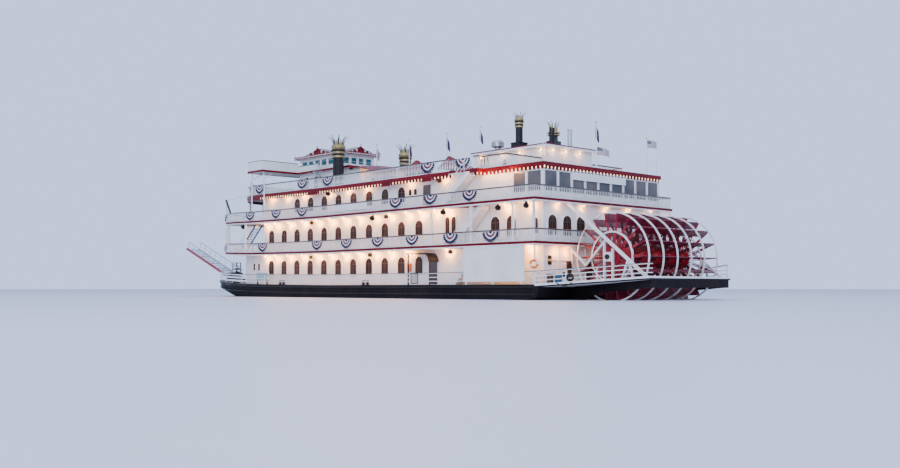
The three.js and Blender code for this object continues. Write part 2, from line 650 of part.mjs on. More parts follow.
// Texas house under the bridge, and the bridge deck with its wings
const TEXAS = { aft: 31.5, fore: 43.2, half: 3.6 };
const PLATFORM = { aft: 32.9, fore: 46.0, half: 4.1, wingAft: 42.9, wingHalf: 9.0 };
const texasOutline = (inset) => [
  [TEXAS.aft + inset, inset - TEXAS.half], [TEXAS.fore - inset, inset - TEXAS.half],
  [TEXAS.fore - inset, TEXAS.half - inset], [TEXAS.aft + inset, TEXAS.half - inset],
];
const bridgeFloor = underside(BRIDGE);
const texas = walls(texasOutline(0), texasOutline(WALL), ROOF.top + SEAT, ROOF.top + 8)
  .intersect(block(20, 60, -FAR, FAR, 0, bridgeFloor - SEAT));
piece('texas_house', texas, WHITE);

function platformOutline(inset) {
  const aft = PLATFORM.aft + inset;
  const fore = PLATFORM.fore - inset;
  const half = PLATFORM.half - inset;
  const wingAft = PLATFORM.wingAft + inset;
  const wingHalf = PLATFORM.wingHalf - inset;
  return [
    [aft, -half], [wingAft, -half], [wingAft, -wingHalf], [fore, -wingHalf],
    [fore, wingHalf], [wingAft, wingHalf], [wingAft, half], [aft, half],
  ];
}
piece('bridge_deck', slab(platformOutline(0), bridgeFloor, BRIDGE.top), RED);

// The bridge's rail is a screen of panels
const screen = slab(platformOutline(0.06), BRIDGE.top + SEAT, BRIDGE.top + 1.05)
  .subtract(slab(platformOutline(0.12), BRIDGE.top - 1, BRIDGE.top + 3));
const bridgeStaff = rod([PLATFORM.aft + 0.15, 0, BRIDGE.top + 0.1], [PLATFORM.aft + 0.15, 0, 17.3], 0.07, 6, 0.03);
piece('bridge_rail', screen.add(bridgeStaff), WHITE);

// Pilothouse with windows all round, and its roof with a gable on each side
const PILOT = { aft: 36.6, fore: 44.9, half: 2.35, top: 16.45, sill: 15.35, head: 16.15 };
const PILOT_ROOF = { aft: 36.0, fore: 45.5, half: 2.85, eave: 16.45, edge: 0.28, ridge: 17.45 };
function pilotHouse() {
  const shell = block(PILOT.aft, PILOT.fore, -PILOT.half, PILOT.half, BRIDGE.top + SEAT, PILOT.top - SEAT);
  const room = block(
    PILOT.aft + WALL, PILOT.fore - WALL, WALL - PILOT.half, PILOT.half - WALL, BRIDGE.top - 1, PILOT.top + 1,
  );
  const cuts = [];
  const sideCount = 6;
  const sidePitch = (PILOT.fore - PILOT.aft - 0.4) / sideCount;
  for (let index = 0; index < sideCount; index += 1) {
    const x = PILOT.aft + 0.2 + sidePitch * index;
    cuts.push(block(x + 0.12, x + sidePitch - 0.12, -5, 5, PILOT.sill, PILOT.head));
  }
  const endCount = 4;
  const endPitch = (2 * PILOT.half - 0.4) / endCount;
  for (let index = 0; index < endCount; index += 1) {
    const y = 0.2 - PILOT.half + endPitch * index;
    cuts.push(block(30, 50, y + 0.12, y + endPitch - 0.12, PILOT.sill, PILOT.head));
  }
  return cuts.reduce((rest, cut) => rest.subtract(cut), shell.subtract(room));
}
piece('pilothouse', pilotHouse(), WHITE);

function gable(from, to, eave, ridge) {
  const middle = (from + to) / 2;
  return [[from, eave], [to, eave], [middle, ridge]];
}
const pilotEave = PILOT_ROOF.eave + PILOT_ROOF.edge;
const pilotRoof = joined([
  block(PILOT_ROOF.aft, PILOT_ROOF.fore, -PILOT_ROOF.half, PILOT_ROOF.half, PILOT_ROOF.eave, pilotEave),
  along(gable(-1.5, 1.5, pilotEave - 0.05, PILOT_ROOF.ridge), PILOT_ROOF.aft + 0.05, PILOT_ROOF.fore - 0.05),
  across(gable(38.6, 42.9, pilotEave - 0.05, PILOT_ROOF.ridge), 0.05 - PILOT_ROOF.half, PILOT_ROOF.half - 0.05),
]);
piece('pilothouse_roof', pilotRoof, RED);

// Chimneys: an open pipe with bands and a crown of curved spikes
function chimney(spec, foot, sides) {
  const r = spec.radius;
  const band = r * 1.27;
  const profile = [
    [0, foot + 0.3], [r * 0.85, foot + 0.3], [r * 0.85, spec.crownFoot + 0.05], [r * 1.3, spec.crownFoot + 0.05],
    [r * 1.4, spec.crownFoot - 0.1], [band, spec.crownFoot - 0.25], [band, spec.bandFoot], [r, spec.bandFoot],
    [r, foot], [0, foot],
  ].reverse();
  const parts = [turned(profile, sides, spec.x, spec.y)];
  const height = spec.tip - spec.crownFoot;
  const leaf = [
    [1.0, -0.08], [1.28, -0.08], [1.38, 0.30], [1.62, 0.66], [2.15, 1.0], [1.50, 0.72], [1.18, 0.36],
  ].map(([out, up]) => [r * out, spec.crownFoot + height * up]);
  for (let index = 0; index < spec.spikes; index += 1) {
    const turn = (index + 0.5) * 2 * Math.PI / spec.spikes;
    const blade = across(leaf, -r * 0.1, r * 0.1).rotate([0, 0, THREE.MathUtils.radToDeg(turn)]);
    parts.push(blade.translate([spec.x, spec.y, 0]));
  }
  return joined(parts);
}
for (const [place, side] of SIDES) {
  const spec = { ...CHIMNEY, y: side * CHIMNEY.y };
  piece(`chimney_${place}`, chimney(spec, ROOF.top, 14).intersect(between(ROOF.top + SEAT, 20)), BLACK);
}

// Stern house on the roof, with what stands on its own roof
const STERN_HOUSE = { aft: 4.5, fore: 13.6, half: 3.3, top: 13.75, eave: 0.3, edge: 0.32 };
const sternOutline = (inset) => [
  [STERN_HOUSE.aft + inset, inset - STERN_HOUSE.half], [STERN_HOUSE.fore - inset, inset - STERN_HOUSE.half],
  [STERN_HOUSE.fore - inset, STERN_HOUSE.half - inset], [STERN_HOUSE.aft + inset, STERN_HOUSE.half - inset],
];
const sternHouse = slab(sternOutline(0), ROOF.top + SEAT, STERN_HOUSE.top - SEAT)
  .subtract(slab(sternOutline(WALL), 10, 15));
piece('stern_house', sternHouse, WHITE);
const sternRoofTop = STERN_HOUSE.top + STERN_HOUSE.edge;
piece('stern_house_roof', slab(sternOutline(-STERN_HOUSE.eave), STERN_HOUSE.top, sternRoofTop), RED);

const stackBase = block(
  STERN_STACK.x - 0.55, STERN_STACK.x + 0.55, STERN_STACK.y - 0.55, STERN_STACK.y + 0.55,
  sternRoofTop + SEAT, sternRoofTop + 0.5,
);
piece('stern_stack', stackBase.add(chimney(STERN_STACK, sternRoofTop + 0.2, 10)), BLACK);

const vent = turned([
  [0, 0], [0.28, 0], [0.28, 0.35], [0.62, 0.45], [0.62, 0.85], [0.45, 1.05], [0, 1.05],
].map(([r, z]) => [r, z + sternRoofTop + SEAT]), 14, 11.4, 2.4);
piece('roof_vent', vent, GREY, { metalness: 0.4 });

const pipes = [2.1, 2.5].map((y) => rod([4.6, y, sternRoofTop + SEAT], [4.6, y, 15.6], 0.12, 8));
const pipeFoot = block(4.45, 4.75, 1.9, 2.7, sternRoofTop + SEAT, sternRoofTop + 0.12);
piece('exhaust_pipes', joined([...pipes, pipeFoot]), GREY, { metalness: 0.6 });

const organ = [block(6.0, 6.8, -0.6, 0.6, sternRoofTop + SEAT, sternRoofTop + 0.7)];
for (let index = 0; index < 5; index += 1) {
  const y = (index - 2) * 0.24;
  const height = 1.9 - 0.22 * Math.abs(index - 2);
  organ.push(rod([6.4, y, sternRoofTop + 0.6], [6.4, y, sternRoofTop + height], 0.08, 7));
}
piece('steam_organ', joined(organ), GOLD, { metalness: 0.7 });

// Two small vent houses with hipped roofs, each with a flagstaff
// columns: name, middle, staff
const VENT_HOUSES = [['vent_house_fore', 26.0, 27.35], ['vent_house_aft', 18.6, 21.2]];
for (const [name, x, staff] of VENT_HOUSES) {
  const base = ROOF.top + rise(x + 1.4) + SEAT;
  const body = block(x - 1.1, x + 1.1, -1.0, 1.0, base, base + 1.3);
  const hip = solidOf(new THREE.ConeGeometry(1.95, 1.05, 4).rotateY(Math.PI / 4).rotateX(Math.PI / 2)
    .translate(x, 0, base + 1.25 + 1.05 / 2));
  const pole = rod([staff, 0, base], [staff, 0, 17.2], 0.07, 6, 0.03);
  const step = block(Math.min(x, staff), staff + 0.15, -0.12, 0.12, base, base + 0.2);
  piece(name, joined([body, hip, step, pole]), WHITE);
}

// Flagstaffs that stand on the roof by themselves
// columns: name, x, y, foot, top
const STAFFS = [
  ['flag_staff_aft', 16.2, 0, ROOF.top, 17.3],
  ['stern_staff', 1.3, 0, ROOF.top, 15.9],
  ['quarter_staff', 1.4, -7.7, ROOF.top, 15.3],
];
for (const [name, x, y, foot, top] of STAFFS) {
  const stand = block(x - 0.14, x + 0.14, y - 0.14, y + 0.14, foot + SEAT, foot + 0.15);
  piece(name, stand.add(rod([x, y, foot + 0.05], [x, y, top], 0.07, 6, 0.03)), WHITE);
}

// Landing stages, hinged between lugs on the foredeck and raised over the bow
for (const [place, side] of SIDES) {
  const hinge = new THREE.Group();
  hinge.position.set(stageHinge.x, side * STAGE.side, stageHinge.z).multiplyScalar(MM_PER_METRE);
  hinge.rotation.y = -stageTilt;
  boat.add(hinge);
  const half = STAGE.half;
  const parts = [rod([0, -half, 0], [0, half, 0], 0.10, 10)];
  parts.push(block(0.02, STAGE.length - 0.02, 0.05 - half, half - 0.05, -0.02, 0.03));
  for (const end of [-1, 1]) {
    const [y0, y1] = span(end, half - 0.11, half - 0.01);
    parts.push(block(0, STAGE.length, y0, y1, -STAGE.below, 0.12));
    const railY = end * (half - 0.06);
    for (let index = 0; index <= 4; index += 1) {
      const x = 0.5 + index * (STAGE.length - 0.8) / 4;
      parts.push(block(x - 0.03, x + 0.03, railY - 0.03, railY + 0.03, 0.05, 0.95));
    }
    parts.push(block(0.45, STAGE.length - 0.2, railY - 0.04, railY + 0.04, 0.92, 1.0));
  }
  piece(`landing_stage_${place}`, joined(parts), RED, { parent: hinge });
}

export default boat;
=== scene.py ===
# %% [markdown]
# A stern-wheel excursion steamer is a flat hull that carries three decks of saloons, ringed by white balustrades.
# The CAD model gives the hull, decks, houses, rails and every moving part. Here it gets its windows, balusters,
# valances, lamps, bunting and flags. The camera comes first, because everything is judged through it.
# It could be placed by eye. It was fitted to the straight deck edges, so it stands low off the port quarter.

# %% Load the frame and place the camera
import math
import random

import bmesh
import bpy
import numpy as np
from mathutils import Matrix, Vector


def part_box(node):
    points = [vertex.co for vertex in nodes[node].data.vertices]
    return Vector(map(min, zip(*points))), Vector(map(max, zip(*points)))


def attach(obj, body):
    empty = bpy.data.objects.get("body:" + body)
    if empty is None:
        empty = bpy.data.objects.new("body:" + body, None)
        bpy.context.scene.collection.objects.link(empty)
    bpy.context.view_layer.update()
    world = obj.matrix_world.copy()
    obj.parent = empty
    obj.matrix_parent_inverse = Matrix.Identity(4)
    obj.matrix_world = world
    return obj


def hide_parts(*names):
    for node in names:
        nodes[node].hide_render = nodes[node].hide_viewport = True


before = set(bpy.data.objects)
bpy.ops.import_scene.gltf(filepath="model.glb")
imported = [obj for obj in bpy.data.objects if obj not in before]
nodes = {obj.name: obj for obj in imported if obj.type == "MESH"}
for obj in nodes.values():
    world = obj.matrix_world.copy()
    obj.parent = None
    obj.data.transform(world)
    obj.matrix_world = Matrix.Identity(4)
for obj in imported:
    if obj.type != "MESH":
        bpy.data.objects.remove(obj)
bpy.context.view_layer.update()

MODEL_SCALE = 0.5
WATERLINE = 0.75
THIRD_DECK_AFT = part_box("third_deck")[0].x


def at(x, y, z):
    """A point of the model, from metres of the full-size boat: X forward from the after edge of the third deck,
    Y to port, Z up from the waterline."""
    return Vector((THIRD_DECK_AFT + x * MODEL_SCALE, y * MODEL_SCALE, WATERLINE + z * MODEL_SCALE))


camera_data = bpy.data.cameras.new("camera")
camera_data.lens = 39.36
camera_data.sensor_width = 36
camera_data.clip_end = 500
camera = bpy.data.objects.new("camera", camera_data)
bpy.context.scene.collection.objects.link(camera)
camera.location = at(-54.5, 69.5, 1.0)
pitch = math.radians(3.14)
sight = Vector((0.7347 * math.cos(pitch), -0.6784 * math.cos(pitch), math.sin(pitch)))
camera.rotation_mode = "QUATERNION"
camera.rotation_quaternion = sight.to_track_quat("-Z", "Y")
bpy.context.scene.camera = camera
print("camera at", tuple(round(v, 2) for v in camera.location))

# %% [markdown]
# The floor is at the waterline, so the hull stands in it as it stands in water.
# A wide soft lamp on the camera's side and a pale sky give the even light of dusk. A hard sun would be simpler,
# but it would drown the warm lamps under the decks, which are a large part of this boat's look.

# %% Floor and light
def floor_material():
    material = bpy.data.materials.new("pale_floor")
    material.use_nodes = True
    tree = material.node_tree
    shader = tree.nodes["Principled BSDF"]
    shader.inputs["Base Color"].default_value = (0.50, 0.53, 0.60, 1)
    grain = tree.nodes.new("ShaderNodeTexNoise")
    grain.inputs["Scale"].default_value = 0.4
    spread = tree.nodes.new("ShaderNodeMapRange")
    spread.inputs["To Min"].default_value = 0.40
    spread.inputs["To Max"].default_value = 0.55
    tree.links.new(grain.outputs["Fac"], spread.inputs["Value"])
    tree.links.new(spread.outputs["Result"], shader.inputs["Roughness"])
    return material


reach = 400
floor_mesh = bpy.data.meshes.new("floor")
floor_mesh.from_pydata(
    [(x, y, WATERLINE) for x, y in ((-reach, -reach), (reach, -reach), (reach, reach), (-reach, reach))],
    [], [(0, 1, 2, 3)],
)
floor_mesh.materials.append(floor_material())
floor = bpy.data.objects.new("floor", floor_mesh)
bpy.context.scene.collection.objects.link(floor)

world = bpy.data.worlds.new("dusk")
world.use_nodes = True
world.node_tree.nodes["Background"].inputs["Color"].default_value = (0.54, 0.66, 1.0, 1)
world.node_tree.nodes["Background"].inputs["Strength"].default_value = 1.65
bpy.context.scene.world = world


def soft_lamp(name, place, size, power, colour):
    data = bpy.data.lights.new(name, "AREA")
    data.size = size
    data.energy = power
    data.color = colour
    lamp = bpy.data.objects.new(name, data)
    lamp.location = place
    lamp.rotation_mode = "QUATERNION"
    lamp.rotation_quaternion = (Vector((0, 0, 2)) - Vector(place)).to_track_quat("-Z", "Y")
    bpy.context.scene.collection.objects.link(lamp)


soft_lamp("port_quarter_lamp", (-44, 52, 34), 36, 22000, (0.97, 0.95, 1.0))
soft_lamp("overhead_lamp", (8, 0, 60), 50, 11000, (0.90, 0.94, 1.0))
print("floor at", WATERLINE)

# %% [markdown]
# Paint on a boat is never one flat colour: it runs in faint streaks and varies in gloss.
# Each finish here is the same small network: broad patches, fine streaks and a slight bump, with its own colours.
# Image textures could do this too, but noise in the object's own space needs no unwrapping and fits every piece.

# %% Make a finish from noise
class Nodes:
    """A material's network, with short calls for the nodes that these finishes use."""

    def __init__(self, name):
        self.material = bpy.data.materials.new(name)
        self.material.use_nodes = True
        self.tree = self.material.node_tree
        self.shader = self.tree.nodes["Principled BSDF"]
        self.place = self.node("ShaderNodeTexCoord").outputs["Object"]

    def node(self, kind, **settings):
        made = self.tree.nodes.new(kind)
        for key, value in settings.items():
            setattr(made, key, value)
        return made

    def put(self, socket, value):
        if isinstance(value, bpy.types.NodeSocket):
            self.tree.links.new(value, socket)
        else:
            socket.default_value = value

    def stretched(self, x, y, z):
        mapping = self.node("ShaderNodeMapping")
        self.put(mapping.inputs["Vector"], self.place)
        mapping.inputs["Scale"].default_value = (x, y, z)
        return mapping.outputs["Vector"]

    def noise(self, scale, vector=None, detail=4.0):
        noise = self.node("ShaderNodeTexNoise")
        self.put(noise.inputs["Vector"], vector or self.place)
        noise.inputs["Scale"].default_value = scale
        noise.inputs["Detail"].default_value = detail
        return noise.outputs["Fac"]

    def maths(self, operation, a, b=0.0):
        made = self.node("ShaderNodeMath", operation=operation)
        self.put(made.inputs[0], a)
        self.put(made.inputs[1], b)
        return made.outputs[0]

    def spread(self, value, low, high, to_low=0.0, to_high=1.0):
        made = self.node("ShaderNodeMapRange")
        for key, number in (("From Min", low), ("From Max", high), ("To Min", to_low), ("To Max", to_high)):
            made.inputs[key].default_value = number
        self.put(made.inputs["Value"], value)
        return made.outputs["Result"]

    def mixed(self, share, a, b):
        made = self.node("ShaderNodeMix", data_type="RGBA")
        self.put(made.inputs["Factor"], share)
        self.put(made.inputs[6], a)
        self.put(made.inputs[7], b)
        return made.outputs[2]

    def axes(self):
        parts = self.node("ShaderNodeSeparateXYZ")
        self.put(parts.inputs[0], self.place)
        return parts.outputs

    def bump(self, height, strength, distance=0.004):
        made = self.node("ShaderNodeBump")
        made.inputs["Strength"].default_value = strength
        made.inputs["Distance"].default_value = distance
        self.put(made.inputs["Height"], height)
        self.tree.links.new(made.outputs["Normal"], self.shader.inputs["Normal"])


def rgb(r, g, b):
    return (r, g, b, 1)


def painted(name, fresh, worn, rough=(0.30, 0.50), streaks=0.35, coat=0.0, metallic=0.0, boards=None,
        shine=0.5):
    """Paint: broad patches between fresh and worn, streaks that run down, and faint brush marks.
    boards = (axis, pitch) adds the joints of planks or panels across that axis, in model metres."""
    net = Nodes(name)
    patches = net.spread(net.noise(0.7), 0.35, 0.70)
    runs = net.spread(net.noise(3.0, net.stretched(3.0, 3.0, 0.35)), 0.45, 0.75)
    share = net.maths("ADD", net.maths("MULTIPLY", patches, 1 - streaks), net.maths("MULTIPLY", runs, streaks))
    colour = net.mixed(share, fresh, worn)
    fine = net.noise(60.0, net.stretched(1.0, 1.0, 0.3))
    height = net.maths("MULTIPLY", fine, 0.25)
    if boards:
        axis, pitch = boards
        along = net.maths("FRACT", net.maths("DIVIDE", net.axes()[axis], pitch))
        groove = net.spread(net.maths("ABSOLUTE", net.maths("SUBTRACT", along, 0.5)), 0.46, 0.50)
        colour = net.mixed(net.maths("MULTIPLY", groove, 0.35), colour, worn)
        height = net.maths("SUBTRACT", height, groove)
    net.put(net.shader.inputs["Base Color"], colour)
    net.put(net.shader.inputs["Roughness"], net.spread(net.noise(5.0), 0.3, 0.7, *rough))
    net.shader.inputs["Metallic"].default_value = metallic
    net.shader.inputs["Coat Weight"].default_value = coat
    net.shader.inputs["Specular IOR Level"].default_value = shine
    net.bump(height, 0.35)
    return net.material


WHITE_PAINT = painted("white_paint", rgb(0.86, 0.86, 0.85), rgb(0.70, 0.70, 0.68))
WALL_PAINT = painted("wall_paint", rgb(0.88, 0.87, 0.85), rgb(0.74, 0.72, 0.69), boards=(0, 0.30))
CRIMSON_PAINT = painted("crimson_paint", rgb(0.36, 0.005, 0.022), rgb(0.22, 0.006, 0.016), coat=0.1)
# Painted shade: a darker copy of the crimson, for the crossing arms of the wheel's inner frames, where the wheel
# shades itself.
SHADED_CRIMSON = painted("crimson_painted_shade", rgb(0.13, 0.004, 0.012), rgb(0.06, 0.004, 0.008), shine=0.3)
EDGE_RED = painted("edge_red_paint", rgb(0.19, 0.003, 0.010), rgb(0.11, 0.003, 0.007), shine=0.15)
BLACK_PAINT = painted("black_paint", rgb(0.008, 0.008, 0.010), rgb(0.024, 0.021, 0.020), rough=(0.40, 0.60),
    shine=0.25)
HULL_PAINT = painted(
    "hull_paint", rgb(0.006, 0.006, 0.008), rgb(0.022, 0.013, 0.012), rough=(0.55, 0.75), boards=(0, 1.2),
    shine=0.12,
)
GREY_METAL = painted("grey_metal", rgb(0.42, 0.44, 0.46), rgb(0.26, 0.27, 0.28), rough=(0.3, 0.5), metallic=0.8)
GOLD = painted("gold_leaf", rgb(0.50, 0.40, 0.17), rgb(0.26, 0.21, 0.10), rough=(0.35, 0.55), metallic=0.6)
ORANGE_PAINT = painted("orange_paint", rgb(0.80, 0.16, 0.02), rgb(0.55, 0.10, 0.02))
BLUE_PAINT = painted("blue_paint", rgb(0.03, 0.14, 0.26), rgb(0.02, 0.08, 0.15))
print("paints:", len(bpy.data.materials))

# %% [markdown]
# The decks have red edges, grey non-slip tops and white undersides, all on one solid. The face's own direction
# picks the colour, so no face has to be chosen by hand.

# %% Deck, wood, glass and lamp finishes
def deck_finish(name, edge, worn, white_below=None):
    """white_below = (X, height): the posts forward of X and below that height are white."""
    net = Nodes(name)
    facing = net.node("ShaderNodeSeparateXYZ")
    net.put(facing.inputs[0], net.node("ShaderNodeTexCoord").outputs["Normal"])
    up = net.spread(facing.outputs["Z"], 0.5, 0.6)
    down = net.spread(facing.outputs["Z"], -0.5, -0.6)
    patches = net.spread(net.noise(0.9), 0.35, 0.70)
    side = net.mixed(patches, edge, worn)
    if white_below:
        x, height = at(white_below[0], 0, white_below[1]).x, at(0, 0, white_below[1]).z
        post = net.maths("MULTIPLY", net.maths("GREATER_THAN", net.axes()[0], x),
            net.maths("LESS_THAN", net.axes()[2], height))
        side = net.mixed(post, side, rgb(0.82, 0.82, 0.81))
        # the notches at the stairs are white inside
        notch = net.maths("LESS_THAN", net.maths("ABSOLUTE",
            net.maths("SUBTRACT", net.axes()[0], at(9.8, 0, 0).x)), 0.72)
        side = net.mixed(notch, side, rgb(0.82, 0.82, 0.81))
    tread = net.mixed(patches, rgb(0.27, 0.28, 0.29), rgb(0.18, 0.18, 0.18))
    ceiling = net.mixed(patches, rgb(0.84, 0.82, 0.79), rgb(0.72, 0.70, 0.67))
    net.put(net.shader.inputs["Base Color"], net.mixed(down, net.mixed(up, side, tread), ceiling))
    net.put(net.shader.inputs["Roughness"], net.spread(net.noise(6.0), 0.3, 0.7, 0.40, 0.60))
    planks = net.maths("FRACT", net.maths("DIVIDE", net.axes()[1], 0.12))
    groove = net.spread(net.maths("ABSOLUTE", net.maths("SUBTRACT", planks, 0.5)), 0.44, 0.50)
    lines = net.maths("MULTIPLY", groove, net.maths("ADD", up, down))
    net.shader.inputs["Specular IOR Level"].default_value = 0.14
    net.bump(net.maths("SUBTRACT", net.noise(80.0), lines), 0.3)
    return net.material


def varnished_wood():
    net = Nodes("varnished_wood")
    grain = net.noise(9.0, net.stretched(0.35, 6.0, 6.0), detail=8.0)
    net.put(net.shader.inputs["Base Color"],
        net.mixed(net.spread(grain, 0.35, 0.65), rgb(0.065, 0.028, 0.014), rgb(0.018, 0.009, 0.006)))
    net.shader.inputs["Coat Weight"].default_value = 0.4
    net.put(net.shader.inputs["Roughness"], net.spread(grain, 0.3, 0.7, 0.28, 0.42))
    net.bump(grain, 0.15, 0.002)
    return net.material


def window_glass(name, tint, other, rough=0.08):
    """Glass with a dim room behind it: a dark tint that changes slowly, and a slightly wavy surface."""
    net = Nodes(name)
    net.put(net.shader.inputs["Base Color"], net.mixed(net.spread(net.noise(0.8), 0.35, 0.65), tint, other))
    net.shader.inputs["Specular IOR Level"].default_value = 0.10
    net.put(net.shader.inputs["Roughness"], net.spread(net.noise(2.0), 0.3, 0.7, rough, rough + 0.10))
    net.bump(net.noise(1.5), 0.08, 0.01)
    return net.material


def lit_glass(name, colour, strength):
    """A frosted lamp that is lit, brighter in the middle of its cloudy pattern."""
    net = Nodes(name)
    cloud = net.noise(30.0)
    net.put(net.shader.inputs["Base Color"], net.mixed(cloud, colour, rgb(1.0, 0.93, 0.80)))
    net.put(net.shader.inputs["Emission Color"], net.mixed(cloud, colour, rgb(1.0, 0.76, 0.46)))
    net.shader.inputs["Emission Strength"].default_value = strength
    net.put(net.shader.inputs["Roughness"], net.spread(cloud, 0.3, 0.7, 0.25, 0.40))
    return net.material


RED_EDGED_DECK = deck_finish("red_edged_deck", rgb(0.19, 0.003, 0.010), rgb(0.11, 0.003, 0.007))
DARK_EDGED_DECK = deck_finish("dark_edged_deck", rgb(0.016, 0.013, 0.014), rgb(0.008, 0.007, 0.008))
ROOF_DECK = deck_finish("roof_deck_paint", rgb(0.19, 0.003, 0.010), rgb(0.11, 0.003, 0.007), (49.0, 11.61))
DARK_WOOD = varnished_wood()
SALOON_GLASS = window_glass("saloon_glass", rgb(0.030, 0.016, 0.012), rgb(0.055, 0.032, 0.024))
VERANDAH_GLASS = window_glass("verandah_glass", rgb(0.085, 0.088, 0.10), rgb(0.16, 0.145, 0.135), 0.15)
SCREEN_GLASS = window_glass("wind_screen_glass", rgb(0.36, 0.46, 0.50), rgb(0.48, 0.58, 0.62), 0.12)
PILOT_GLASS = window_glass("pilothouse_glass", rgb(0.010, 0.060, 0.085), rgb(0.040, 0.170, 0.210))
WARM_LAMP = lit_glass("warm_lamp_glass", rgb(1.0, 0.58, 0.22), 6.0)
WARM_BULB = lit_glass("warm_bulb_glass", rgb(1.0, 0.66, 0.30), 2.6)
print("finishes:", [m.name for m in bpy.data.materials][-7:])

# %% [markdown]
# Many parts repeat hundreds of times: balusters, valance teeth, lamps. One mesh for each kind keeps the scene light.
# The Builder gathers corners and faces, and turns them into one named object at the end.

# %% A builder that gathers one kind of part into one mesh
class Builder:
    def __init__(self):
        self.corners = []
        self.faces = []
        self.kinds = []

    def add(self, corners, faces, kind=0):
        start = len(self.corners)
        self.corners.extend(tuple(c) for c in corners)
        self.faces.extend(tuple(start + i for i in face) for face in faces)
        self.kinds.extend([kind] * len(faces))

    def rings(self, rings, kind=0, closed=False):
        """Skins a row of rings that all have the same number of corners, and caps the ends of an open row."""
        count = len(rings[0])
        rows = len(rings)
        faces = []
        for row in range(rows if closed else rows - 1):
            low, high = row * count, ((row + 1) % rows) * count
            for i in range(count):
                j = (i + 1) % count
                faces.append((low + i, low + j, high + j, high + i))
        if not closed:
            faces.append(tuple(reversed(range(count))))
            faces.append(tuple((rows - 1) * count + i for i in range(count)))
        self.add([corner for ring in rings for corner in ring], faces, kind)

    def block(self, low, high, kind=0):
        """A box between two corners, in metres of the full-size boat."""
        (x0, y0, z0), (x1, y1, z1) = low, high
        ring = [(x0, y0), (x1, y0), (x1, y1), (x0, y1)]
        self.rings([[at(x, y, z) for x, y in ring] for z in (z0, z1)], kind)

    def tube(self, path, radius, sides=8, kind=0, closed=False):
        """A round bar along points of the model. radius is one number, or one for each point."""
        path = [Vector(p) for p in path]
        count = len(path)
        radii = radius if hasattr(radius, "__len__") else [radius] * count
        rings = []
        for i, point in enumerate(path):
            ahead = path[(i + 1) % count] if closed or i + 1 < count else path[i]
            behind = path[i - 1] if closed or i > 0 else path[i]
            run = (ahead - behind).normalized()
            side = run.cross(Vector((0, 0, 1)))
            if side.length < 0.05:
                side = run.cross(Vector((0, 1, 0)))
            side.normalize()
            rise = side.cross(run)
            rings.append([
                point + radii[i] * (side * math.cos(a) + rise * math.sin(a))
                for a in (2 * math.pi * (k + 0.5) / sides for k in range(sides))
            ])
        self.rings(rings, kind, closed=closed)

    def beam(self, start, end, wide, deep, kind=0):
        """A square-edged bar between two points of the model."""
        start, end = Vector(start), Vector(end)
        run = (end - start).normalized()
        side = run.cross(Vector((0, 0, 1)))
        if side.length < 0.05:
            side = run.cross(Vector((0, 1, 0)))
        side = side.normalized() * wide / 2
        rise = side.cross(run).normalized() * deep / 2
        ring = [side + rise, rise - side, -side - rise, side - rise]
        self.rings([[start + r for r in ring], [end + r for r in ring]], kind)

    def turned(self, foot, axis, profile, sides=16, kind=0):
        """A turned shape from (radius, height) pairs of the full-size boat, along an axis from its foot."""
        foot, axis = Vector(foot), Vector(axis).normalized()
        side = axis.cross(Vector((1, 0, 0)))
        if side.length < 0.1:
            side = axis.cross(Vector((0, 1, 0)))
        side.normalize()
        other = axis.cross(side)
        turns = [2 * math.pi * (k + 0.5) / sides for k in range(sides)]
        self.rings([
            [foot + MODEL_SCALE * (axis * height + radius * (side * math.cos(a) + other
            * math.sin(a))) for a in turns]
            for radius, height in profile
        ], kind)

    def plate(self, outline, thick, kind=0):
        """A flat plate: outline is points of the model, thick the vector from one face to the other."""
        self.rings([[Vector(p) for p in outline], [Vector(p) + Vector(thick) for p in outline]], kind)

    def made(self, name, materials, body="boat", smooth=None, bevel=0.0, slot=None):
        mesh = bpy.data.meshes.new(name)
        mesh.from_pydata(self.corners, [], self.faces)
        for material in materials if isinstance(materials, (list, tuple)) else [materials]:
            mesh.materials.append(material)
        mesh.polygons.foreach_set("material_index", self.kinds)
        graph = bmesh.new()
        graph.from_mesh(mesh)
        bmesh.ops.recalc_face_normals(graph, faces=graph.faces)
        graph.to_mesh(mesh)
        graph.free()
        piece = bpy.data.objects.new(name, mesh)
        bpy.context.scene.collection.objects.link(piece)
        if smooth:
            mesh.polygons.foreach_set("use_smooth", [True] * len(mesh.polygons))
            mesh.set_sharp_from_angle(angle=math.radians(smooth))
        if bevel:
            soften_edges(piece, bevel)
        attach(piece, body)
        print(name, len(mesh.polygons), "faces")
        return piece


def soften_edges(piece, width):
    """Real edges are never razor sharp: a small rounding catches the light."""
    rounding = piece.modifiers.new("soft_edges", "BEVEL")
    rounding.width = width
    rounding.segments = 2
    rounding.limit_method = "ANGLE"
    rounding.angle_limit = math.radians(40)


SIDES = (("port", 1), ("starboard", -1))

# %% [markdown]
# The decks rise towards the bow and round in there, so nothing on them sits at one height or along one line.
# The rise could be typed in as numbers. It is read from the corners of the CAD decks instead, so that every
# added part stands on the deck that carries it.

# %% Read the rise of the decks
MAIN_TOP, SECOND_TOP, THIRD_TOP, ROOF_TOP = 1.30, 4.87, 8.52, 11.58
DECK_DEPTH = 0.30


def deck_tops(node, level):
    """(X, rise above the level amidships) for the corners of a deck's top."""
    tops = {}
    for vertex in nodes[node].data.vertices:
        x = round((vertex.co.x - THIRD_DECK_AFT) / MODEL_SCALE, 2)
        tops[x] = max(tops.get(x, -1.0), (vertex.co.z - WATERLINE) / MODEL_SCALE - level)
    return [(x, up) for x, up in sorted(tops.items()) if up > -0.05]


def bends_only(points):
    """Leaves out the points where the slope doesn't change."""
    kept = [points[0]]
    for here, ahead in zip(points[1:], points[2:]):
        x0, up0 = kept[-1]
        straight = up0 + (ahead[1] - up0) * (here[0] - x0) / (ahead[0] - x0)
        if abs(here[1] - straight) > 0.004:
            kept.append(here)
    return kept + [points[-1]]


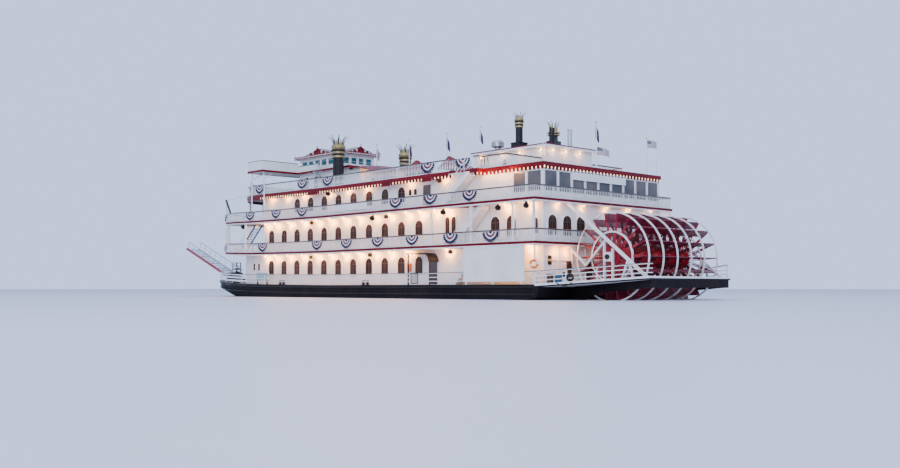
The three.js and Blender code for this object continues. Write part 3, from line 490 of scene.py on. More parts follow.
main_tops = deck_tops("main_deck", MAIN_TOP)
SHEER = bends_only([main_tops[0]] + deck_tops("second_deck", SECOND_TOP) + [main_tops[-1]])


def rise(x):
    return float(np.interp(x, *zip(*SHEER)))


print("sheer", [(x, round(up, 2)) for x, up in SHEER])

# %% [markdown]
# Rails, valances and lamps all follow a deck's edge. edge_line() gives that line in plan, walk() steps along it,
# and sweep() carries a moulding along it. A curve object with a bevel could do the sweep, but it would not rise
# with the deck.

# %% Follow the edge of a deck
# half beam, after end, where the side starts to round in, tip of the bow
DECK_PLAN = (9.75, 0.0, 44.7, 58.7)
ROOF_PLAN = (9.0, 7.4, 43.0, 53.0)
ROOF_STERN_HALF, ROOF_AFT = 8.3, 0.3


def edge_line(plan, inset, aft=None):
    """The line of a deck's edge, drawn in by inset, from the starboard quarter round the bow
    to the port quarter."""
    half, after, shoulder, tip = plan
    start = after + inset if aft is None else aft
    line = [(start, inset - half)]
    for step in range(13):
        turn = math.pi * (step / 12 - 0.5)
        line.append((shoulder + (tip - inset - shoulder) * math.cos(turn), (half - inset) * math.sin(turn)))
    line.append((start, half - inset))
    return line


def roof_line(inset):
    """The roof is narrower behind the stairs, so its edge has a step there."""
    half, aft, step = ROOF_STERN_HALF - inset, ROOF_AFT + inset, ROOF_PLAN[1] + inset
    return [(aft, -half), (step, -half)] + edge_line(ROOF_PLAN, inset) + [(step, half), (aft, half)]


def at_bends(line, closed):
    """The same line with a corner wherever the deck's slope changes."""
    ends = list(zip(line, line[1:] + line[:1])) if closed else list(zip(line, line[1:]))
    out = []
    for (x0, y0), (x1, y1) in ends:
        out.append((x0, y0))
        cuts = sorted((s for s, _ in SHEER if min(x0, x1) < s < max(x0, x1)), reverse=x1 < x0)
        out.extend((s, y0 + (y1 - y0) * (s - x0) / (x1 - x0)) for s in cuts)
    return out if closed else out + [line[-1]]


def walk(line, spacing, closed=False, start=0.5):
    """Points at even steps along a line, each with the direction of the line there."""
    corners = line + line[:1] if closed else line
    left = spacing * start
    for (x0, y0), (x1, y1) in zip(corners, corners[1:]):
        length = math.hypot(x1 - x0, y1 - y0)
        while left < length:
            part = left / length
            yield x0 + (x1 - x0) * part, y0 + (y1 - y0) * part, (x1 - x0) / length, (y1 - y0) / length
            left += spacing
        left -= length


def sweep(builder, line, level, profile, closed=False, kind=0):
    """Carries a profile of (outward, up) pairs along a line that runs round the deck with the deck on its left.
    level is the height amidships."""
    line = at_bends(line, closed)
    count = len(line)
    rings = []
    for i, (x, y) in enumerate(line):
        before = line[i - 1] if closed or i else line[i]
        after = line[(i + 1) % count] if closed or i + 1 < count else line[i]
        into = Vector((x - before[0], y - before[1]))
        out_of = Vector((after[0] - x, after[1] - y))
        into = into.normalized() if into.length else out_of.normalized()
        out_of = out_of.normalized() if out_of.length else into
        mean = (into + out_of).normalized()
        outward = Vector((mean.y, -mean.x)) / max(0.4, mean.dot(into))
        rings.append([at(x + outward.x * o, y + outward.y * o, level + rise(x) + u) for o, u in profile])
    builder.rings(rings, kind, closed=closed)


def oblong(low, high, wide, out=0.0):
    return [(out - wide / 2, low), (out + wide / 2, low), (out + wide / 2, high), (out - wide / 2, high)]


print("rail line corners:", len(edge_line(DECK_PLAN, 0.16)), " rise at the bow:", round(rise(58), 2))

# %% [markdown]
# The CAD parts keep their shapes and only get their finishes and slightly rounded edges.
# Each finish is chosen by what the part is on the boat: painted steel, varnished wood, bare metal.

# %% Dress the parts that stay
FINISHES = {
    "hull": HULL_PAINT, "main_deck": DARK_EDGED_DECK,
    "second_deck": RED_EDGED_DECK, "third_deck": RED_EDGED_DECK, "roof_deck": ROOF_DECK,
    "bridge_deck": RED_EDGED_DECK, "pilothouse_roof": RED_EDGED_DECK,
    "wheel_shaft": BLACK_PAINT, "engine_block": GREY_METAL, "roof_vent": GREY_METAL,
    "exhaust_pipes": BLACK_PAINT,
}

WALLED = ("house", "texas")
for name, node in nodes.items():
    finish = FINISHES.get(name)
    if finish is None:
        if "_door_" in name:
            finish = DARK_WOOD
        elif "awning" in name or "rudder" in name:
            finish = BLACK_PAINT
        elif any(word in name for word in WALLED):
            finish = WALL_PAINT
        else:
            finish = WHITE_PAINT
    node.data.materials.clear()
    node.data.materials.append(finish)
    soften_edges(node, 0.006)
print("parts dressed:", len(nodes))

# %% [markdown]
# A few CAD parts are two things in one solid: a rail with the black derricks that lean out of it, a vent house with
# its red roof and white staff, the organ with its dark case. A finish that looks at the height of each point, or how
# far forward it is, keeps the solid whole and still paints each thing as it should be.

# %% Finishes that change with height
def two_painted(name, node, first, second, low, high, fore=-99.0, aft=99.0):
    """first everywhere, but second between two heights and two places along the boat."""
    net = Nodes(name)
    inside = None
    for axis, over, limit in ((2, True, at(0, 0, low).z), (2, False, at(0, 0, high).z),
            (0, True, at(fore, 0, 0).x), (0, False, at(aft, 0, 0).x)):
        test = net.maths("GREATER_THAN" if over else "LESS_THAN", net.axes()[axis], limit)
        inside = test if inside is None else net.maths("MULTIPLY", inside, test)
    patches = net.spread(net.noise(0.9), 0.35, 0.70)
    net.put(net.shader.inputs["Base Color"],
        net.mixed(inside, net.mixed(patches, *first), net.mixed(patches, *second)))
    net.put(net.shader.inputs["Roughness"], net.spread(net.noise(5.0), 0.3, 0.7, 0.32, 0.52))
    net.bump(net.noise(60.0, net.stretched(1.0, 1.0, 0.3)), 0.25)
    nodes[node].data.materials.clear()
    nodes[node].data.materials.append(net.material)


WHITES = (rgb(0.86, 0.86, 0.85), rgb(0.70, 0.70, 0.68))
REDS = (rgb(0.19, 0.003, 0.010), rgb(0.11, 0.003, 0.007))
BLACKS = (rgb(0.008, 0.008, 0.010), rgb(0.024, 0.021, 0.020))
two_painted("rail_and_derricks", "third_deck_rail", WHITES, BLACKS, 10.42, 13.0, fore=55.0)
two_painted("fore_vent_house", "vent_house_fore", WHITES, REDS, 12.84, 14.0, 24.5, 27.25)
two_painted("aft_vent_house", "vent_house_aft", WHITES, REDS, 12.84, 14.0, 17.1, 20.1)
two_painted("stern_roof_and_cornice", "stern_house_roof", WHITES, REDS, 13.96, 15.0)
two_painted("organ_and_case", "steam_organ", BLACKS, (rgb(0.50, 0.40, 0.17), rgb(0.26, 0.21, 0.10)), 15.55,
    17.0)

# %% [markdown]
# The wheel is one solid of white hoops, crimson arms and dark red planks, with painted shade on the arms of its
# inner frames. Painting it face by face would take long, so its finish measures how far a point is from the shaft,
# and whether it lies in one of the six frames.

# %% Paint the wheel by distance from its shaft
SHAFT_X, SHAFT_Z = -4.17, 3.55
FRAME_PITCH = 1.96
RIM_INNER, RING_INNER, RING_OUTER = 3.60, 2.01, 2.17


def wheel_paint():
    net = Nodes("wheel_paint")
    x, y, z = (net.axes()[i] for i in range(3))
    centre = at(SHAFT_X, 0, SHAFT_Z)
    dx = net.maths("SUBTRACT", x, centre.x)
    dz = net.maths("SUBTRACT", z, centre.z)
    radius = net.maths("SQRT", net.maths("ADD", net.maths("MULTIPLY", dx, dx), net.maths("MULTIPLY", dz, dz)))
    step = net.maths("FRACT", net.maths("DIVIDE", y, FRAME_PITCH * MODEL_SCALE))
    off_frame = net.maths("ABSOLUTE", net.maths("SUBTRACT", step, 0.5))
    in_frame = net.maths("LESS_THAN", off_frame, 0.036)
    rim = net.maths("MULTIPLY", net.maths("GREATER_THAN", radius, RIM_INNER * MODEL_SCALE), in_frame)
    at_end = net.maths("GREATER_THAN", net.maths("ABSOLUTE", y), 4.7 * MODEL_SCALE)
    ring = net.maths("MULTIPLY", net.maths("GREATER_THAN", radius, RING_INNER * MODEL_SCALE), at_end)
    ring = net.maths("MULTIPLY", ring, net.maths("LESS_THAN", radius, RING_OUTER * MODEL_SCALE))
    white = net.maths("MAXIMUM", rim, ring)
    wear = net.spread(net.noise(4.0, detail=8.0), 0.40, 0.70)
    plank = net.mixed(wear, rgb(0.20, 0.003, 0.024), rgb(0.07, 0.002, 0.010))
    # The arms of the inner frames are much darker than those of the end frames: painted shade inside the wheel.
    arm = net.mixed(at_end, net.mixed(wear, rgb(0.09, 0.003, 0.010), rgb(0.04, 0.003, 0.006)),
        net.mixed(wear, rgb(0.32, 0.003, 0.024), rgb(0.20, 0.003, 0.016)))
    hoop = net.mixed(wear, rgb(0.86, 0.85, 0.83), rgb(0.62, 0.58, 0.55))
    colour = net.mixed(white, net.mixed(in_frame, plank, arm), hoop)
    net.put(net.shader.inputs["Base Color"], colour)
    net.put(net.shader.inputs["Roughness"], net.spread(wear, 0, 1, 0.32, 0.60))
    net.bump(net.noise(24.0, net.stretched(3.0, 0.4, 3.0), detail=8.0), 0.3)
    return net.material


nodes["paddle_wheel"].data.materials.clear()
nodes["paddle_wheel"].data.materials.append(wheel_paint())
print("wheel centre", tuple(round(v, 3) for v in at(SHAFT_X, 0, SHAFT_Z)))

# %% [markdown]
# The rails of the upper decks are white balustrades, so close that from abaft they look almost solid, under a
# dark varnished handrail. The CAD rails have the bars and posts. The turned balusters between them come here,
# as one mesh a deck: an array modifier couldn't turn the bow or climb with the deck.

# %% Balusters and handrails
BALUSTER = [(0.034, 0.10), (0.026, 0.20), (0.048, 0.36), (0.038, 0.52), (0.022, 0.76), (0.036, 0.90),
    (0.026, 1.0)]
HANDRAIL = [(-0.075, 1.00), (0.075, 1.00), (0.085, 1.06), (0.055, 1.11), (-0.055, 1.11), (-0.085, 1.06)]


def balustrade(name, line, level, closed, spacing=0.22, lift=0.0):
    builder = Builder()
    for x, y, _, _ in walk(line, spacing, closed):
        if lift and x > 45.5:
            continue
        profile = [(radius, height + (lift if height > 0.5 else 0.0)) for radius, height in BALUSTER]
        builder.turned(at(x, y, level + rise(x)), (0, 0, 1), profile, sides=6)
    builder.made(name + "_balusters", WHITE_PAINT, smooth=50)
    rail = Builder()
    sweep(rail, line, level, [(o, u + lift) for o, u in HANDRAIL], closed)
    rail.made(name + "_handrail", DARK_WOOD, bevel=0.004, slot="varnished_wood")


balustrade("second_deck", edge_line(DECK_PLAN, 0.16), SECOND_TOP, True)
balustrade("third_deck", edge_line(DECK_PLAN, 0.16), THIRD_TOP, True)
balustrade("roof_forward", edge_line(ROOF_PLAN, 0.16, aft=11.42), ROOF_TOP, False, lift=0.08)
for side_name, side in SIDES:
    aft_run = [(8.08, side * 8.84), (7.56, side * 8.84), (7.56, side * 8.14), (4.76, side * 8.14),
        (4.76, side * 3.32)]
    if side > 0:
        aft_run.reverse()
    balustrade("roof_aft_" + side_name, aft_run, ROOF_TOP, False, lift=0.08)

# %% [markdown]
# The main deck has an open rail: white bars under a thin dark handrail, which stops at the bow and at the wheel.

# %% Handrail of the main deck
def main_rail_line(side):
    """From the fantail forward to where the rail ends at the bow."""
    inset = 0.16
    line = [(-8.34, 5.17), (-8.34, 5.69), (0.0, 9.59), (44.6, 9.59)]
    for step in range(1, 13):
        turn = math.pi / 2 * step / 12
        x, y = 44.6 + (60.6 - inset - 44.6) * math.sin(turn), 9.59 * math.cos(turn)
        if x > 56.3:
            break
        line.append((x, y))
    return [(x, side * y) for x, y in (line if side < 0 else reversed(line))]


main_handrail = Builder()
for _, side in SIDES:
    sweep(main_handrail, main_rail_line(side), MAIN_TOP, oblong(1.05, 1.10, 0.13))
main_handrail.made("main_deck_handrail", DARK_WOOD, bevel=0.004, slot="varnished_wood")

# %% [markdown]
# The edge of each upper deck is a red fascia with a thin moulding at its top and foot, and the hull has rubbing
# strakes along its side. They catch the light as fine lines, which a bare plate edge doesn't.

# %% Edge mouldings and rubbing strakes
mouldings = Builder()
for level in (SECOND_TOP, THIRD_TOP):
    sweep(mouldings, edge_line(DECK_PLAN, 0.0), level, oblong(-0.06, 0.012, 0.07), closed=True)
    sweep(mouldings, edge_line(DECK_PLAN, 0.0), level, oblong(-0.305, -0.20, 0.035), closed=True, kind=1)
mouldings.made("deck_edge_mouldings", [EDGE_RED, WHITE_PAINT], bevel=0.004)

strakes = Builder()
for low, high, out in ((1.02, 1.10, 0.03), (0.42, 0.52, -0.06)):
    sweep(strakes, edge_line((9.75, 0.0, 44.6, 60.4), -out), 0.0, oblong(low, high, 0.09))
strakes.made("rubbing_strakes", BLACK_PAINT, bevel=0.008)

# %% [markdown]
# Windows on such saloons are round-headed, with dark panes, white mouldings and a sill. They could be cut through
# the wall, but the rooms behind them are dark, so a slightly proud pane of dark glass reads the same.

# %% Arched windows
def arch_outline(half, low, high, steps=8):
    """Left foot, right foot, then round the head, as (along, up) pairs."""
    spring = high - half
    arc = [(half * math.cos(math.pi * i / steps),
        spring + half * math.sin(math.pi * i / steps)) for i in range(steps + 1)]
    return [(-half, low), (half, low)] + arc


class WindowMaker:
    """Fits arched windows to a wall. The wall is a point on it and the directions along and out of it."""

    def __init__(self, origin, along, out):
        self.origin, self.along, self.out = Vector(origin), Vector(along), Vector(out)
        self.panes, self.trims = Builder(), Builder()

    def point(self, where, up, off):
        x, y, _ = self.origin + self.along * where + self.out * off
        return at(x, y, up)

    def fit(self, where, half, low, high, bars=True, head_steps=8):
        outline = arch_outline(half, low, high, head_steps)
        self.panes.plate(
            [self.point(where + a, up, 0.004) for a, up in outline],
            self.point(0, 0, 0.022) - self.point(0, 0, 0.004),
        )
        outer = arch_outline(half + 0.10, low - 0.05, high + 0.10, head_steps)
        self.trims.rings([
            [
                self.point(where + a0, u0, 0.003), self.point(where + a0, u0, 0.060),
                self.point(where + a1, u1, 0.035), self.point(where + a1, u1, 0.003),
            ]
            for (a0, u0), (a1, u1) in zip(outline, outer)
        ], closed=True)
        self.bar(where - half - 0.14, where + half + 0.14, low - 0.12, low - 0.02, 0.10)
        if bars:
            self.bar(where - 0.025, where + 0.025, low, high - 0.01, 0.035, kind=1)
            self.bar(where - half, where + half, high - half - 0.025, high - half + 0.025, 0.035, kind=1)

    def bar(self, a0, a1, u0, u1, proud, kind=0):
        ring = [(a0, u0), (a1, u0), (a1, u1), (a0, u1)]
        self.trims.rings([[self.point(a, u, off) for a, u in ring] for off in (0.003, proud)], kind)

    def made(self, name):
        self.panes.made(name + "_panes", SALOON_GLASS, slot="window_glass")
        self.trims.made(name + "_frames", [WHITE_PAINT, DARK_WOOD], bevel=0.003)


SALOON_WINDOWS = [41.9, 39.3, 36.75, 34.2, 31.65, 29.1, 26.5, 23.9, 21.35, 18.8, 16.2]
HOUSE_HALF = 8.2
for side_name, side in SIDES:
    wall = WindowMaker((0, side * HOUSE_HALF, 0), (1, 0, 0), (0, side, 0))
    for x in SALOON_WINDOWS:
        wall.fit(x, 0.55, 2.43 + rise(x), 3.98 + rise(x))
        wall.fit(x, 0.55, 5.95 + rise(x), 7.42 + rise(x))
        if 18 < x < 37:
            wall.fit(x, 0.55, 9.30 + rise(x), 10.80 + rise(x))
    for x in (45.55, 44.54):
        wall.fit(x, 0.21, 2.86 + rise(x), 3.70 + rise(x), bars=False)
    for x in (17.5, 16.72):
        wall.fit(x, 0.22, 9.90, 10.50, bars=False)
    for x, half, low, high in ((6.0, 0.55, 5.42, 7.24), (4.07, 0.55, 5.42, 7.24), (1.23, 0.26, 5.60, 6.90)):
        wall.fit(x, half, low, high)
    for x in (12.2, 11.35):
        wall.fit(x, 0.30, 5.05, 7.55, head_steps=4)
    wall.made("saloon_windows_" + side_name)

stern_wall = WindowMaker((0.4, 0, 0), (0, 1, 0), (-1, 0, 0))
for y in (7.1, 5.2, 3.4, -3.4, -5.2, -7.1):
    stern_wall.fit(y, 0.56, 5.42, 7.18)
stern_wall.made("stern_windows")
front_wall = WindowMaker((47.5, 0, 0), (0, 1, 0), (1, 0, 0))
for y in (-6.4, -3.8, 3.8, 6.4):
    front_wall.fit(y, 0.47, 2.50 + rise(47.5), 4.05 + rise(47.5))
front_wall.made("main_front_windows")
for name, x, low, high in (("second", 43.6, 6.0, 7.45), ("third", 43.5, 9.5, 10.9)):
    front_wall = WindowMaker((x, 0, 0), (0, 1, 0), (1, 0, 0))
    for y in (-6.9, -4.4, -1.3, 1.3, 4.4, 6.9):
        front_wall.fit(y, 0.47, low + rise(x), high + rise(x))
    front_wall.made(name + "_front_windows")

# %% [markdown]
# The two chimneys are black pipes with gilded bands, and a crown of iron spikes that curl outwards like feathers.
# The CAD crown has eight plain blades that are thick enough for physics. A turned body and thin tapering spikes
# replace them: a lathe profile gives the rolled bands, and each spike is a bar that narrows along a curve.

# %% Chimneys and the stern stack
def crowned_stack(name, nodes_replaced, x, y, foot, radius, band_foot, crown_foot, tip, plinth=None):
    builder = Builder()
    span, cup = crown_foot - band_foot, (tip - crown_foot) * 0.34
    # radius and height of each turn of the profile, and whether the face above it is gilded
    body = [(1.0, foot, 0), (1.0, band_foot - 0.01, 0)]
    for low, high, wide, gilded in ((0.0, 0.24, 1.18, 1), (0.26, 0.46, 1.20, 0), (0.50, 0.76, 1.20, 1),
            (0.79, 0.97, 1.36, 0)):
        bottom, top = band_foot + span * low, band_foot + span * high
        body += [(wide * 0.97, bottom, gilded), (wide, (bottom + top) / 2, gilded), (wide * 0.97, top, 0),
            (wide * 0.90, top + 0.01, 0)]
    body += [(1.16, crown_foot, 1), (1.34, crown_foot + cup * 0.35, 1), (1.32, crown_foot + cup * 0.7, 1),
        (1.16, crown_foot + cup, 1),
             (1.04, crown_foot + cup * 0.95, 0), (0.90, crown_foot - 0.3, 0), (0.30, crown_foot - 0.35, 0)]
    foot_point = at(x, y, 0)
    count = 28
    rings = []
    for r, height, _ in body:
        rings.append([
            foot_point + MODEL_SCALE * (Vector((math.cos(a), math.sin(a), 0)) * radius * r + Vector((0, 0,
            height)))
            for a in (2 * math.pi * k / count for k in range(count))
        ])
    builder.rings(rings)
    for index in range(len(body) - 1):
        for face in range(index * count, (index + 1) * count):
            builder.kinds[face] = body[index][2]
    height = tip - crown_foot
    petals = 16
    for index in range(petals):
        turn = 2 * math.pi * (index + 0.5) / petals
        out = Vector((math.cos(turn), math.sin(turn), 0))
        aside = Vector((-math.sin(turn), math.cos(turn), 0))
        long_one = index % 2 == 0
        reach = 1.0 if long_one else 0.55
        rings = []
        for step in range(9):
            part = step / 8 * reach
            bow = 1.16 - 0.30 * math.sin(part * math.pi) + 0.92 * part ** 2.2
            wide = radius * (0.20 if long_one else 0.26) * (1 - 0.62 * part / reach)
            thick = radius * 0.11 * (1 - 0.5 * part)
            centre = foot_point + MODEL_SCALE * (out * radius * bow + Vector((0, 0,
                crown_foot + cup * 0.6 + (height - cup * 0.6) * part)))
            rings.append([
                centre + MODEL_SCALE * (aside * wide * a + out * thick * o)
                for a, o in ((-1, 0.0), (0, 1.0), (1, 0.0), (0, -1.0))
            ])
        builder.rings(rings, kind=1 if not long_one else 2)
    if plinth:
        half, low, high = plinth
        builder.block((x - half, y - half, low), (x + half, y + half, high))
        builder.block((x - half * 1.08, y - half * 1.08, high - 0.07), (x + half * 1.08, y + half * 1.08, high))
    piece = builder.made(name, [BLACK_PAINT, GOLD, DARK_SPIKE], smooth=35, bevel=0.003)
    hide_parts(*nodes_replaced)


DARK_SPIKE = painted("dark_gilded_spikes", rgb(0.12, 0.11, 0.07), rgb(0.04, 0.04, 0.04), rough=(0.40, 0.60),
    metallic=0.3)
for side_name, side in SIDES:
    crowned_stack(
        "crowned_chimney_" + side_name, ["chimney_" + side_name], 33.8, side * 4.85,
        ROOF_TOP + rise(33.5) + 0.02, 0.60,
        15.42, 16.33, 17.85,
    )
STERN_ROOF_TOP = 14.07
crowned_stack(
    "crowned_stern_stack", ["stern_stack"], 8.3, 2.7, STERN_ROOF_TOP + 0.1, 0.34, 15.98, 16.60, 17.35,
    plinth=(0.55, STERN_ROOF_TOP + 0.001, STERN_ROOF_TOP + 0.5),
)

# %% [markdown]
# The landing stages are long crimson gangways, hinged on the foredeck and held up over the bow. Seen close they
# are two deep stringers with cross beams, a planked walkway and thin grey handrails. The CAD stage has thick
# rails so that physics can hold it. This one is built along the stage's own slope, and rides on its hinge.

# %% Landing stages
PALE_GRATING = painted("pale_grating", rgb(0.62, 0.68, 0.76), rgb(0.48, 0.54, 0.62), metallic=0.2)
STAGE_HINGE_X, STAGE_SIDE, STAGE_LENGTH, STAGE_HALF, STAGE_SLOPE = 55.0, 5.0, 12.2, 0.95, math.radians(19.5)
STAGE_HINGE_Z = MAIN_TOP + rise(STAGE_HINGE_X) + 0.30


def landing_stage(side_name, side):
    def spot(along, aside, up):
        return at(
            STAGE_HINGE_X + along * math.cos(STAGE_SLOPE) - up * math.sin(STAGE_SLOPE),
            side * STAGE_SIDE + aside,
            STAGE_HINGE_Z + along * math.sin(STAGE_SLOPE) + up * math.cos(STAGE_SLOPE),
        )

    def bar(builder, a0, a1, s0, s1, u0, u1, kind=0):
        ring = [(a0, s0), (a1, s0), (a1, s1), (a0, s1)]
        builder.rings([[spot(a, s, u) for a, s in ring] for u in (u0, u1)], kind)

    frame_parts = Builder()
    for edge in (-1, 1):
        outer = edge * (STAGE_HALF - 0.012)
        inner = edge * (STAGE_HALF - 0.10)
        paint = 0 if edge == side else 2
        bar(frame_parts, 0.0, STAGE_LENGTH, *sorted((outer, inner)), -0.155, 0.115, kind=paint)
        for up in (-0.155, 0.095):
            bar(frame_parts, 0.0, STAGE_LENGTH, *sorted((outer, edge * (STAGE_HALF - 0.16))), up, up + 0.03,
                kind=paint)
    beams = 13
    for index in range(beams):
        along = 0.35 + index * (STAGE_LENGTH - 0.7) / (beams - 1)
        bar(frame_parts, along - 0.03, along + 0.03, -STAGE_HALF + 0.1, STAGE_HALF - 0.1, -0.11, -0.02, kind=2)
    bar(frame_parts, -0.10, 0.42, -STAGE_HALF + 0.02, STAGE_HALF - 0.02, -0.08, 0.02, kind=1)
    frame_parts.tube([spot(0, -STAGE_HALF + 0.005, 0), spot(0, STAGE_HALF - 0.005, 0)], 0.05, 12, kind=1)
    treads = 30
    for index in range(treads):
        start = 0.05 + index * (STAGE_LENGTH - 0.1) / treads
        bar(frame_parts, start, start + 0.05, -0.84, 0.84, -0.02, 0.02, kind=2)
    for aside in (-0.55, 0.0, 0.55):
        bar(frame_parts, 0.05, STAGE_LENGTH - 0.05, aside - 0.02, aside + 0.02, -0.03, 0.03, kind=2)
    bar(frame_parts, -0.05, 0.75, -0.80, 0.80, 0.03, 0.32, kind=1)
    bar(frame_parts, 0.10, 0.45, -0.86, 0.86, 0.32, 0.62, kind=1)
    staged = frame_parts.made(
        "stage_frame_" + side_name, [CRIMSON_PAINT, BLACK_PAINT, PALE_GRATING],
        body="landing_stage_" + side_name, bevel=0.004,
    )
    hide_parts("landing_stage_" + side_name)
    rails = Builder()
    for edge in (-1, 1):
        line = edge * (STAGE_HALF - 0.06)
        for index in range(9):
            along = 0.5 + index * (STAGE_LENGTH - 0.8) / 8
            rails.tube([spot(along, line, 0.08), spot(along, line, 0.97)], 0.010, 8)
        for up, radius in ((0.97, 0.024), (0.53, 0.008)):
            rails.tube([spot(0.45, line, up), spot(STAGE_LENGTH - 0.2, line, up)], radius, 8)
    rails.made("stage_handrails_" + side_name, GREY_METAL, body="landing_stage_" + side_name, smooth=40,
        slot="grey_metal")


for side_name, side in SIDES:
    landing_stage(side_name, side)

# %% [markdown]
# The after end of the third deck's saloon is a glazed verandah, one bay between each two posts. Its panes are
# grey, with a lit room behind. The openings are cut in the CAD house, so each gets a frame and a thin pane.

# %% Verandah panes and frames
VERANDAH_PITCH, VERANDAH_SILL, VERANDAH_HEAD = 1.8, 9.15, 10.95


def glazed_bay(panes, frames, where, low, high, depth, along, face):
    """One glazed opening. where is its middle, depth its half width, face the wall's coordinate across."""
    def spot(a, up, off):
        return at(face + off, where + a, up) if along == "y" else at(where + a, face + off, up)

    panes.rings([[spot(a, up, off) for a, up in ((-depth, low), (depth, low), (depth, high), (-depth, high))]
                 for off in (-0.01, 0.01)])
    rim = 0.05
    strips = [(-depth, depth, low, low + rim), (-depth, depth, high - rim, high),
              (-depth, rim - depth, low, high), (depth - rim, depth, low, high)]
    for a0, a1, u0, u1 in strips:
        frames.rings([[spot(a, up, off) for a, up in ((a0, u0), (a1, u0), (a1, u1),
            (a0, u1))] for off in (-0.03, 0.03)])


verandah_panes, verandah_frames = Builder(), Builder()
for index in range(9):
    y = (index - 4) * VERANDAH_PITCH
    glazed_bay(verandah_panes, verandah_frames, y, VERANDAH_SILL, VERANDAH_HEAD, 0.798, "y", 0.44)
for side in (-1, 1):
    for x0, x1 in ((0.65, 2.25), (2.45, 3.9)):
        middle, half = (x0 + x1) / 2, (x1 - x0) / 2 - 0.002
        glazed_bay(verandah_panes, verandah_frames, middle, VERANDAH_SILL, VERANDAH_HEAD, half, "x",
            side * 8.125)
verandah_panes.made("verandah_panes", VERANDAH_GLASS, slot="window_glass")
verandah_frames.made("verandah_frames", WHITE_PAINT, bevel=0.003)

posts = Builder()
for index in range(10):
    y = (index - 4.5) * VERANDAH_PITCH
    posts.block((0.325, y - 0.045, THIRD_TOP + 0.001), (0.339, y + 0.045, 10.30 if -3.2 < y < 4.8 else 11.279))
    posts.block((0.30, y - 0.10, THIRD_TOP + 0.001), (0.339, y + 0.10, THIRD_TOP + 0.22))
posts.made("verandah_posts", WHITE_PAINT, bevel=0.006)

board_frame = Builder()
for low, high in (((0.30, -2.92, 10.33), (0.339, 4.58, 10.37)), ((0.30, -2.92, 11.08), (0.339, 4.58, 11.12)),
                  ((0.30, -2.94, 10.33), (0.339, -2.90, 11.12)), ((0.30, 4.56, 10.33), (0.339, 4.60, 11.12))):
    board_frame.block(low, high)
board_frame.made("stern_board_frame", WHITE_PAINT, bevel=0.003)

# %% [markdown]
# A scalloped red valance hangs from the edge of the roof, with a bare bulb in each gap. At dusk this row of
# lights is what one sees first. Each tooth is a small shield, cut from plate and hung at an even pitch.

# %% Valance with its bulbs
TOOTH_PITCH = 0.47
TOOTH = [(-0.165, 0.0), (0.165, 0.0), (0.165, -0.17), (0.10, -0.29), (0.0, -0.33), (-0.10, -0.29),
    (-0.165, -0.17)]
TEETH_TOP = 11.30


def in_stair_gap(x, y):
    return 8.1 < x < 11.0 and abs(y) > 8.0


def plain_fascia(x, y):
    """Where a solid board takes the place of the teeth: at the roof's front and at three lamp boxes a side."""
    return x > 43.9 or (abs(y) > 8.5 and any(abs(x - box) < 0.75 for box in (32.9, 20.4, 14.4)))


teeth, bulbs = Builder(), Builder()
for x, y, dx, dy in walk(at_bends(roof_line(0.03), True), TOOTH_PITCH, closed=True):
    if in_stair_gap(x, y):
        continue
    top = TEETH_TOP + rise(x)
    outline = [(-0.236, 0.0), (0.236, 0.0), (0.236, -0.36), (-0.236, -0.36)] if plain_fascia(x, y) else TOOTH
    teeth.plate(
        [at(x + dx * a, y + dy * a, top + up) for a, up in outline],
        MODEL_SCALE * Vector((-dy * 0.03, dx * 0.03, 0)),
    )
    if plain_fascia(x, y):
        continue
    bx, by = x + dx * TOOTH_PITCH / 2 - dy * 0.02, y + dy * TOOTH_PITCH / 2 + dx * 0.02
    bulbs.turned(
        at(bx, by, top), (0, 0, -1),
        [(0.030, 0.0), (0.032, 0.05), (0.055, 0.10), (0.062, 0.15), (0.045, 0.20), (0.012, 0.222)], sides=8,
    )
teeth.made("roof_valance_teeth", EDGE_RED)
bulbs.made("roof_valance_bulbs", WARM_BULB, smooth=60, slot="lamp_glass")

fascia = Builder()
sweep(fascia, edge_line(ROOF_PLAN, -0.02, aft=11.22), ROOF_TOP, oblong(-0.33, 0.03, 0.06))
aft_part = [(8.38, 9.02), (7.38, 9.02), (7.38, 8.32), (0.28, 8.32)]
sweep(fascia, aft_part + [(x, -y) for x, y in reversed(aft_part)], ROOF_TOP, oblong(-0.33, 0.03, 0.06))
fascia.made("roof_fascia", EDGE_RED, bevel=0.004)

# %% [markdown]
# Under each deck hangs a small lamp in every bay, and its light falls in a warm arch on the white wall below.
# The lamp itself is a frosted dome in a white ring. The glow is a real light beside it, because a dome that small
# would light the wall only with much noise.

# %% Lamps under the decks
BAY_LAMPS = [42.6, 40.6, 37.9, 35.2, 32.6, 30.1, 27.6, 25.1, 22.6, 20.2, 17.6, 15.6, 13.6, 11.9, 6.9, 4.4, 1.7]
LAMP_Y = 8.66
WARM = (1.0, 0.39, 0.07)


def glow(name, place, power, radius=0.05, colour=WARM):
    data = bpy.data.lights.new(name, "POINT")
    data.energy = power
    data.color = colour
    data.shadow_soft_size = radius
    lamp = bpy.data.objects.new(name, data)
    lamp.location = place
    bpy.context.scene.collection.objects.link(lamp)


lamp_rings, lamp_domes = Builder(), Builder()


def ceiling_lamp(x, y, ceiling, power=44.0):
    top = ceiling + rise(x) - 0.001
    lamp_rings.turned(at(x, y, top), (0, 0, -1),
        [(0.02, 0.0), (0.15, 0.0), (0.15, 0.03), (0.11, 0.05), (0.02, 0.05)], 14)
    lamp_domes.turned(at(x, y, top - 0.04), (0, 0, -1),
        [(0.02, 0.0), (0.10, 0.01), (0.095, 0.06), (0.06, 0.11), (0.01, 0.13)], 14)
    glow(f"glow_{len(bpy.data.lights):03d}", at(x, y, top - 0.34), power)


